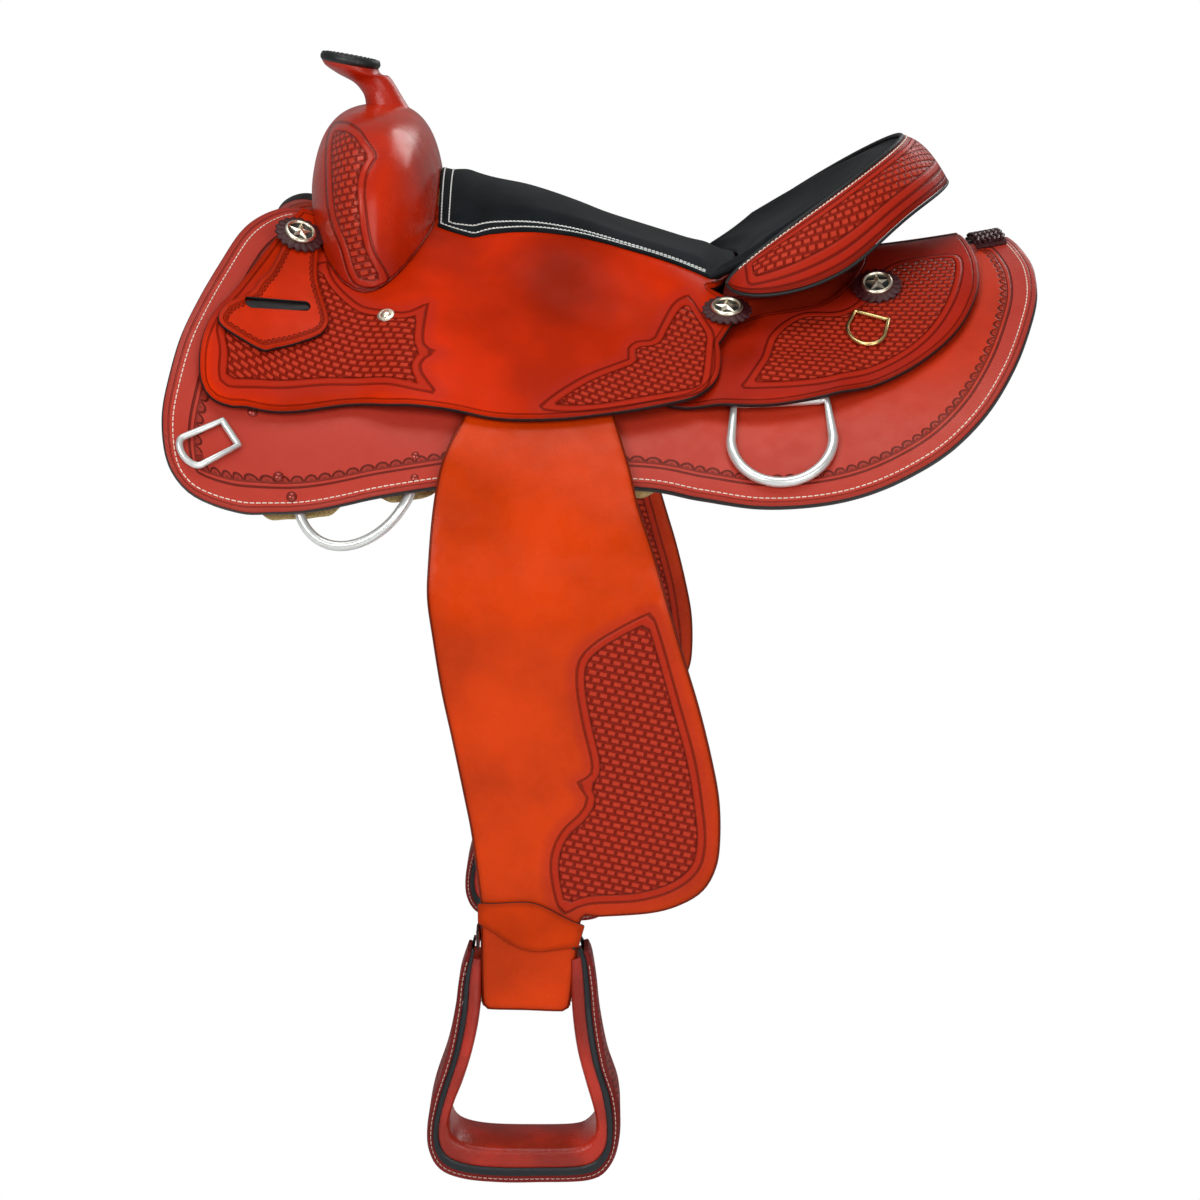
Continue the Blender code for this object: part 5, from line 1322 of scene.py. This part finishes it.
# The roll is dyed darker than the seat leather as painted shade, for the shadow under and behind the
# cantle.
roll_shaded_finish = leather_finish("cantle roll leather", dye(168, 34, 8), STAMPED,
                             [(0.0030, 0.0003, 0.5)], rough=0.40, dark_edge=0.5)
roll, u, v = patch("cantle roll leather", roll_place, 120, 16, [roll_shaded_finish, edge_dye],
                   out=(1, 0, 0.6))
centre = roll_place(np.linspace(0, 1, 121), np.full(121, 0.5))
arc = run_of(centre)
wide = np.hypot(ROLL_WIDE, 0.036) * roll_share(u)
along = np.interp(u, np.linspace(0, 1, 121), arc)
write_values(roll, "flat", np.column_stack([along, v * wide, 0 * u]))
write_values(roll, "edge", np.minimum(v, 1 - v) * wide)
write_values(roll, "along", along)
near_end = np.minimum(along, arc[-1] - along)
band_low, band_high = (v - 0.16) * wide, (0.84 - v) * wide
write_values(roll, "panel", np.minimum(np.minimum(band_low, band_high), near_end - 0.024))
thicken(roll, 0.0045)
soften(roll, 0.0012)
place(roll, "saddle", "saddle_leather", ["cantle_roll"])


def cord_along(name, path, radius, material, closed=False, radii=None, resolution=3):
    data = new_curve(name, radius, resolution, material)
    draw(data, path, closed, radii)
    return add(name, data)


binding = plain_finish("black binding", dye(24, 26, 27), 0.55, grain=0.0004)
ends = np.linspace(0.0, 1.0, 140)
inner_edge = roll_place(ends, np.full(140, -0.03), 0.0006)
outer_edge = roll_place(ends, np.full(140, 1.0), 0.0020)
place(cord_along("rim binding", inner_edge, 0.0021, binding), "saddle", "black_leather")
place(cord_along("back binding", outer_edge, 0.0013, binding), "saddle", "black_leather")
stitch_p, stitch_n = surface_line(roll_place, np.linspace(0.02, 0.98, 140), np.full(140, 0.075))
place(threads("cantle stitching", [stitch_p], [stitch_n], 0.0042, 0.0030, 0.00055, thread_finish),
      "saddle", "saddle_leather")
print("roll length:", round(float(arc[-1]), 3))

# %% [markdown]
# ## Conchos, screws and rivets
# A concho is a small cast disc. Each one here is a ring round a five-pointed star with a ridge
# down every point, and it holds a scalloped leather rosette. The star is built as ten slanted
# faces, because its sparkle comes from their sharp ridges.

# %% Make the conchos and the fittings
def seat_on(surface, x, d, high):
    """A frame on a leather surface: z looks outward, y points up the slope."""
    s = 0.006
    at = surface(np.array([x, x + s, x - s, x, x]), np.array([d, d, d, d + s, d - s]))
    z = np.cross(at[1] - at[2], at[3] - at[4])
    z /= np.linalg.norm(z)
    if z[2] < 0:
        z = -z
    x_axis = np.array([1.0, 0, 0]) - z * z[0]
    x_axis /= np.linalg.norm(x_axis)
    y_axis = np.cross(z, x_axis)
    frame_of = Matrix((x_axis, y_axis, z)).transposed().to_4x4()
    return Matrix.Translation(Vector(at[0] + z * high)) @ frame_of


def raised_disc(name, radius_at, rings, steps, material, matrix):
    """A low disc; rings are (share of the radius, height) from the middle out and under."""
    points, faces = [], []
    for share, z in rings:
        for k in range(steps):
            a = 2 * math.pi * k / steps
            r = radius_at(a) * share
            points.append((r * math.cos(a), r * math.sin(a), z))
    for i in range(len(rings) - 1):
        for k in range(steps):
            a, b = i * steps + k, i * steps + (k + 1) % steps
            faces.append((a, b, b + steps, a + steps))
    faces.append(tuple(range(steps)))
    faces.append(tuple(reversed(range((len(rings) - 1) * steps, len(rings) * steps))))
    obj = new_object(name, points, faces, [material])
    turn_outward(obj, matrix=matrix, sharp=35)
    return obj


def star(name, radius, high, base, material, matrix):
    outline = []
    for k in range(10):
        angle, reach = math.radians(90 + 36 * k), radius * (0.42 if k % 2 else 1)
        outline.append((reach * math.cos(angle), reach * math.sin(angle)))
    points = [(0, 0, high)] + [(x, y, base + 0.0004) for x, y in outline]
    points += [(x, y, base - 0.0010) for x, y in outline] + [(0, 0, base - 0.0010)]
    faces = []
    for k in range(10):
        a, b = 1 + k, 1 + (k + 1) % 10
        faces += [(0, a, b), (a, a + 10, b + 10, b), (21, b + 10, a + 10)]
    obj = new_object(name, points, faces, [material])
    obj.data.transform(matrix)
    return obj


rivet_finish = plain_finish("copper rivet", dye(150, 58, 48), 0.25, 0.5)
rosette_finish = plain_finish("dark rosette leather", dye(58, 14, 18), 0.45, grain=0.0005)


def concho(name, surface, x, d, stands_for, high, sign, tip=0.0):
    """A rosette with a ring, a star and a dark ground on it; tip leans it up the slope."""
    frame_of = (seat_on(surface, x, d * sign, high)
                @ Matrix.Rotation(math.radians(tip * sign), 4, "X"))

    def scallop(a):
        return 0.0188 + 0.0023 * abs(math.sin(9 * a))

    rosette = raised_disc(f"{name} rosette", scallop,
                          [(0.3, 0.0032), (0.62, 0.0030), (0.84, 0.0022), (0.97, 0.0018),
                           (1.0, 0.0008), (0.97, 0.0)], 144, rosette_finish, frame_of)
    place(rosette, "saddle", "dark_leather", [stands_for[0]])
    lifted = frame_of @ Matrix.Translation((0, 0, 0.0034))
    profile = [(0.0101, 0.0), (0.0099, 0.0011), (0.0103, 0.0021), (0.0113, 0.0027),
               (0.0124, 0.0024), (0.0131, 0.0015), (0.0133, 0.0004), (0.0131, -0.0004),
               (0.0115, -0.0004), (0.0101, 0.0)]
    ring = turned(f"{name} ring", profile, 72, silver_finish, lifted)
    place(ring, "saddle", "silver", [stands_for[1]])
    place(star(f"{name} star", 0.0100, 0.0028, 0.0008, silver_finish, lifted), "saddle", "silver")
    hole = raised_disc(f"{name} ground", lambda a: 0.0102,
                       [(0.5, 0.0001), (1.0, 0.0001), (1.0, -0.0006)], 40, black_finish, lifted)
    place(hole, "saddle", "black_leather")


CONCHOS = (("front", at_height(KEEPER_LIFT), -0.259, 0.124, 0.0012, 0),
           ("seat", seat_top, 0.105, 0.138, 0.0016, 0),
           ("rear", at_height(LIFT["rear_jockey"]), 0.2345, 0.106, 0.0046, 14))
RIVETS = ((-280, 288), (-254, 333), (-242, 348), (-145, 317), (-145, 338))
for side, sign in SIDES:
    for where, surface, x, d, high, tip in CONCHOS:
        concho(f"{where} concho {side}", surface, x, d,
               (f"rosette_{where}_{side}", f"concho_{where}_{side}"), high, sign, tip)
    washer = seat_on(seat_top, -0.175, 0.189 * sign, 0.0)
    disc = [(0.0, 0.0030), (0.0026, 0.0029), (0.0038, 0.0022), (0.0044, 0.0014), (0.0060, 0.0016),
            (0.0070, 0.0011), (0.0073, 0.0003), (0.0070, 0.0), (0.0, 0.0)]
    place(turned(f"jockey screw {side}", disc, 40, silver_finish, washer), "saddle", "silver")
    rivet = [(0.0, 0.0026), (0.0018, 0.0023), (0.0033, 0.0015), (0.0043, 0.0003), (0.0043, -0.0004),
             (0.0, -0.0004)]
    for k, (x, d) in enumerate(RIVETS):
        spot = seat_on(skirt_top, x / 1000, d / 1000 * sign, 0.0 if k < 3 else -0.0016)
        place(turned(f"skirt rivet {k + 1} {side}", rivet, 24, rivet_finish, spot),
              "saddle", "dark_leather")
print("pieces:", len(MADE))

# %% [markdown]
# ## Stirrups
# A bell stirrup is a bent wooden hoop under leather. From the inside out it shows a red wrap, a
# black welt that stands up along both faces, and a stitched outer leather. Each layer is drawn
# as a profile and carried round the same two outlines, the inside and the outside of the hoop.

# %% Make the stirrups
OUTER = [(-104, -488), (-112, -513), (-116, -542), (-123, -577), (-134, -611), (-139, -637),
         (-138, -658), (-129, -674), (-110, -682), (-81, -685), (-52, -685), (-8, -683),
         (9, -670), (16, -645), (15, -615), (6, -585), (0, -551), (-3, -521), (-7, -496),
         (-12, -488)]
INNER = [(-95, -492), (-95, -513), (-96, -542), (-102, -572), (-110, -598), (-117, -616),
         (-121, -632), (-119, -643), (-110, -650), (-90, -654), (-56, -655), (-20, -654),
         (-8, -648), (-3, -638), (-5, -622), (-11, -600), (-18, -572), (-22, -542), (-23, -513),
         (-23, -492)]
outer_line = even(pattern(OUTER, 0.003, False), 0.002)
inner_line = even(pattern(INNER, 0.003, False), 0.002)
AROUND = 120
t = np.linspace(0, 1, AROUND + 1)


def line_at(line, at):
    gap = np.linspace(0, 1, len(line))
    return np.stack([np.interp(at, gap, line[:, k]) for k in range(2)], 1)


inside, outside = line_at(inner_line, t), line_at(outer_line, t)
wrap_finish = plain_finish("stirrup wrap", dye(164, 38, 20), 0.30, grain=0.0006, change=0.30)
welt_finish = plain_finish("black welt", dye(20, 26, 30), 0.40, grain=0.0005)
dull_thread = plain_finish("waxed thread", dye(196, 164, 152), 0.7, level=0.2)
outer_finish = leather_finish("stirrup outer leather", dye(120, 36, 34), dye(120, 30, 30), (),
                              rough=0.5, basket_size=(0.006, 0.005))


def depth_at(at):
    """The hoop is narrow at the bolt and wide at the tread."""
    return 0.031 + 0.027 * float(ease(np.array(math.sin(math.pi * at) * 1.45)))


def both_faces(half):
    """A profile over both faces of the hoop, from its half on one face."""
    return [(share, -deep, 0) for share, deep in half] + [(*p, 0) for p in reversed(half)]


def hoop(name, profile, centre_y, finish, body, slot, nodes=(), first=0, last=AROUND):
    """Carry a closed profile of (share outward, share of the half depth, extra) round the hoop."""
    points, flat, panel = [], [], []
    run = run_of(outside)
    for i in range(first, last + 1):
        across = outside[i] - inside[i]
        half = depth_at(t[i]) / 2
        for share, deep, extra in profile:
            p = inside[i] + across * share
            points.append((p[0], centre_y + half * deep + math.copysign(extra, deep), p[1]))
            flat.append((run[i], half * deep, 0.0))
            panel.append(0.02 if share > 0.99 else -0.01)
    size = len(profile)
    count = last - first
    faces = [(i * size + k, i * size + (k + 1) % size,
              (i + 1) * size + (k + 1) % size, (i + 1) * size + k)
             for i in range(count) for k in range(size)]
    faces += [tuple(range(size)), tuple(reversed(range(count * size, (count + 1) * size)))]
    obj = new_object(name, points, faces, [finish])
    write_values(obj, "flat", np.array(flat))
    write_values(obj, "panel", np.array(panel))
    write_values(obj, "edge", np.full(len(points), 0.02))
    write_values(obj, "along", np.array(flat)[:, 0])
    turn_outward(obj, sharp=42)
    place(obj, body, slot, nodes)
    return obj


WRAP = both_faces([(0.0, 0.80), (0.05, 0.90), (0.14, 0.965), (0.30, 0.98), (0.52, 0.98)])
SHELL = both_faces([(0.74, 0.975), (0.90, 0.965), (0.97, 0.90), (1.0, 0.78), (1.0, 0.3)])
stitch = inside + (outside - inside) * 0.83
for side, sign in SIDES:
    low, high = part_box(f"stirrup_{side}")
    middle = (low[1] + high[1]) / 2
    body = f"stirrup_{side}_body"
    hoop(f"stirrup wrap {side}", WRAP, middle, wrap_finish, body, "stirrup_leather",
         [f"stirrup_{side}"], 2, AROUND - 2)
    for face, which in ((-1.0, "outer"), (1.0, "inner")):
        welt = [(0.515, 0.80 * face, 0), (0.50, 0.985 * face, 0.0016), (0.54, 0.985 * face, 0.0026),
                (0.66, 0.985 * face, 0.0028), (0.72, 0.985 * face, 0.0018), (0.73, 0.80 * face, 0)]
        hoop(f"stirrup welt {which} {side}", welt, middle, welt_finish, body, "black_leather")
        deep = np.array([depth_at(x) / 2 * 0.975 + 0.0004 for x in t]) * face
        seam_p = np.column_stack([stitch[:, 0], middle + deep, stitch[:, 1]])[3:-3]
        seam_n = np.tile((0.0, face, 0.0), (len(seam_p), 1))
        place(threads(f"stirrup stitching {which} {side}", [seam_p], [seam_n], 0.0042, 0.0027,
                      0.0004, dull_thread), body, "stirrup_leather")
    hoop(f"stirrup outer leather {side}", SHELL, middle, outer_finish, body, "stirrup_leather",
         (), 1, AROUND - 1)
    print("stirrup", side, "middle y", round(middle, 4), "tread height",
          round(float(inside[AROUND // 2][1]), 4))

# %% [markdown]
# ## Rings and the pieces that keep the frame's own shape
# The rigging rings are bent from steel rod and welded. The frame already has their shape and
# place, so each one is drawn again as a round, polished rod on a path like the frame's, with its
# thickness read from the photo. The bolts, the tree and the hidden straps keep the frame's shape;
# the cantle and the bars get a dark red whose colour is painted shade, since the photo shows no
# bare wood there.

# %% Finish the rings, bolts and the tree
BAR_POINTS = 12


def ring_line(start, end, tip, count=40):
    """A D-shaped path from the bar's two ends and the tip of the round side."""
    a, b, far = np.array(start), np.array(end), np.array(tip)
    mid, along, reach = (a + b) / 2, (b - a) / 2, far - (a + b) / 2
    long, radius = np.linalg.norm(reach), np.linalg.norm(along)
    straight = max(0.0, 1 - radius / long)
    points = [a + (b - a) * k for k in np.linspace(0.04, 0.96, BAR_POINTS)]
    points += [mid + reach * straight + along * math.cos(t)
               + reach / long * min(radius, long) * math.sin(t)
               for t in np.linspace(0, math.pi, count)]
    return np.array(points)


def ring_path(flat, sign, lift):
    return layer(flat[:, 0], flat[:, 1] * sign, lift)


FRONT_BAR, FRONT_TIP = ((-0.2365, 0.327), (-0.1465, 0.321)), (-0.195, 0.386)
SKIRT_EDGE_AT_RING, RING_LIFT = 0.362, 0.0081
FLANK = ring_line((0.1045, 0.231), (0.1865, 0.231), (0.1450, 0.3105), 33)
FLANK_LIFT = LIFT["skirt"] + 0.0009 + 0.0037


def front_ring(sign):
    """The front ring lies under the skirt and hangs free below its edge."""
    flat = ring_line(*FRONT_BAR, FRONT_TIP)
    held = np.minimum(flat[:, 1], SKIRT_EDGE_AT_RING)
    path = layer(flat[:, 0], held * sign, RING_LIFT)
    lower = flat[:, 1] - held
    return path + np.stack([0 * lower, np.sign(path[:, 1]) * 0.30 * lower, -0.95 * lower], 1)


SMALL_RINGS = (("breast collar ring", ((-0.3035, 0.309), (-0.2885, 0.323), (-0.3300, 0.3555)),
                LIFT["skirt"] + 0.0003 + 0.0029, 0.0028, steel_finish, "steel"),
               ("string ring", ((0.2120, 0.1345), (0.2410, 0.1525), (0.2150, 0.1770)),
                LIFT["rear_jockey"] + 0.0022, 0.0019, brass_finish, "brass"))
for side, sign in SIDES:
    hoop_of = cord_along(f"front rigging ring {side}", front_ring(sign), 0.0040, steel_finish,
                         True, None, 5)
    place(hoop_of, "saddle", "steel", [f"front_rigging_ring_{side}"])
    for name, corners, lift, radius, finish, slot in SMALL_RINGS:
        node = f"{name} {side}".replace(" ", "_")
        path = ring_path(ring_line(*corners), sign, lift)
        place(cord_along(f"{name} {side}", path, radius, finish, True, None, 5),
              f"{node}_body", slot, [node])
    ring = ring_path(FLANK, sign, FLANK_LIFT)
    thick_of = 0.78 + 0.22 * ease((np.linalg.norm(ring - ring[0], axis=1) - 0.020) / 0.030)
    thick_of = np.where(np.arange(len(ring)) < BAR_POINTS, 0.78, thick_of)
    dee = cord_along(f"flank ring {side}", ring, 0.0042, steel_finish, True, thick_of, 5)
    place(dee, f"rear_rigging_ring_{side}_body", "steel", [f"rear_rigging_ring_{side}"])
# The cantle and the bars get a dark red that is painted shade, for the shadow under the roll.
cantle_back_shade = plain_finish("cantle back leather in painted shade", dye(118, 22, 8), 0.5, grain=0.0005, level=0.2)
strap_plain = plain_finish("stirrup strap leather", dye(196, 56, 18), 0.5, grain=0.0005, change=0.1)
dressed = {"tree_fork": wood_finish, "tree_cantle": cantle_back_shade,
           "rear_lacing_plate": rosette_finish}
for start, finish in (("stirrup_bolt", steel_finish), ("tree_bar", cantle_back_shade),
                      ("rear_rigging_strap", rosette_finish), ("stirrup_strap", strap_plain)):
    dressed.update({f"{start}_{side}": finish for side, _ in SIDES})
for node, finish in dressed.items():
    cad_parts[node].material_slots[0].material = finish
for k in range(6):
    x = 0.331 + 0.0042 * k
    span = np.linspace(-0.032, 0.032, 15)
    path = layer(x + 0.0012 * np.sin(span * 400 + k), span, LIFT["skirt"] + 0.0055)
    place(cord_along(f"rear lace {k + 1}", path, 0.0016, rosette_finish), "saddle", "dark_leather")
print("flank ring height:", round(float(ring[:, 2].min()), 4))

# %% [markdown]
# ## Light, floor and camera
# The photo is a cut-out on white under broad soft light from above and in front. White card all
# round gives the leather its pinkish sheen; on the skirts part of the rose sheen is also painted
# into the colour. The camera stands level with the seat and looks down a little, as measured from
# where the skirts' and the stirrup's edges fall in the photo.

# %% Set the light, the floor and the camera
world = bpy.data.worlds.new("studio")
bpy.context.scene.world = world
world.use_nodes = True
nodes, links = world.node_tree.nodes, world.node_tree.links
backdrop = nodes["Background"]
backdrop.inputs["Color"].default_value = (1, 1, 1, 1)
rays = nodes.new("ShaderNodeLightPath")
level = nodes.new("ShaderNodeMapRange")
level.inputs["To Min"].default_value = 0.24
level.inputs["To Max"].default_value = 1.0
links.new(rays.outputs["Is Camera Ray"], level.inputs["Value"])
links.new(level.outputs[0], backdrop.inputs["Strength"])

floor_finish = Finish("white floor", (0.9, 0.9, 0.9, 1.0), 0.8)
glow = floor_finish.node("ShaderNodeEmission")
glow.inputs["Color"].default_value = (1, 1, 1, 1)
seen = floor_finish.node("ShaderNodeLightPath")
blend_of = floor_finish.node("ShaderNodeMixShader")
floor_finish.join(blend_of.inputs[0], seen.outputs["Is Camera Ray"])
floor_finish.join(blend_of.inputs[1], floor_finish.shader.outputs[0])
floor_finish.join(blend_of.inputs[2], glow.outputs[0])
floor_finish.join(floor_finish.tree.nodes["Material Output"].inputs["Surface"], blend_of.outputs[0])
FLOOR, REACH = -0.72, 6
floor = new_object("floor", [(-REACH, -REACH, FLOOR), (REACH, -REACH, FLOOR), (REACH, REACH, FLOOR),
                             (-REACH, REACH, FLOOR)], [(0, 1, 2, 3)], [floor_finish.material])
floor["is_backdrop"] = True


def lamp(name, place_of, size, power, target=(0.0, -0.1, -0.15)):
    data = bpy.data.lights.new(name, "AREA")
    data.shape = "RECTANGLE"
    data.size, data.size_y = size
    data.energy = power
    obj = add(name, data)
    obj.location = place_of
    obj.rotation_euler = (Vector(target) - Vector(place_of)).to_track_quat("-Z", "Y").to_euler()
    return obj


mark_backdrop(lamp("key", (-1.5, -2.9, 1.3), (1.6, 1.2), 44),
         lamp("front fill", (1.3, -3.0, 0.6), (1.8, 1.8), 30),
         lamp("top", (-0.2, -0.6, 2.6), (2.0, 1.4), 30),
         lamp("rear", (1.4, 2.0, 1.4), (1.4, 1.2), 18))
camera_data = bpy.data.cameras.new("camera")
camera_data.lens = 82
camera_data.sensor_width = 36
camera = add("camera", camera_data)
camera.location = (0, -2.4, 0.2478)
camera.rotation_euler = (math.radians(77.62), 0, 0)
bpy.context.scene.camera = camera
bpy.context.scene.view_settings.view_transform = "Standard"
bpy.context.scene.view_settings.look = "None"

# %% Finish
end_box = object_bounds()


def plain(value):
    return [plain(v) for v in value] if hasattr(value, "__len__") else float(value)


{"frame": plain(start_box), "visual": plain(end_box)}
print("frame box:", plain(start_box), "visual box:", plain(end_box))
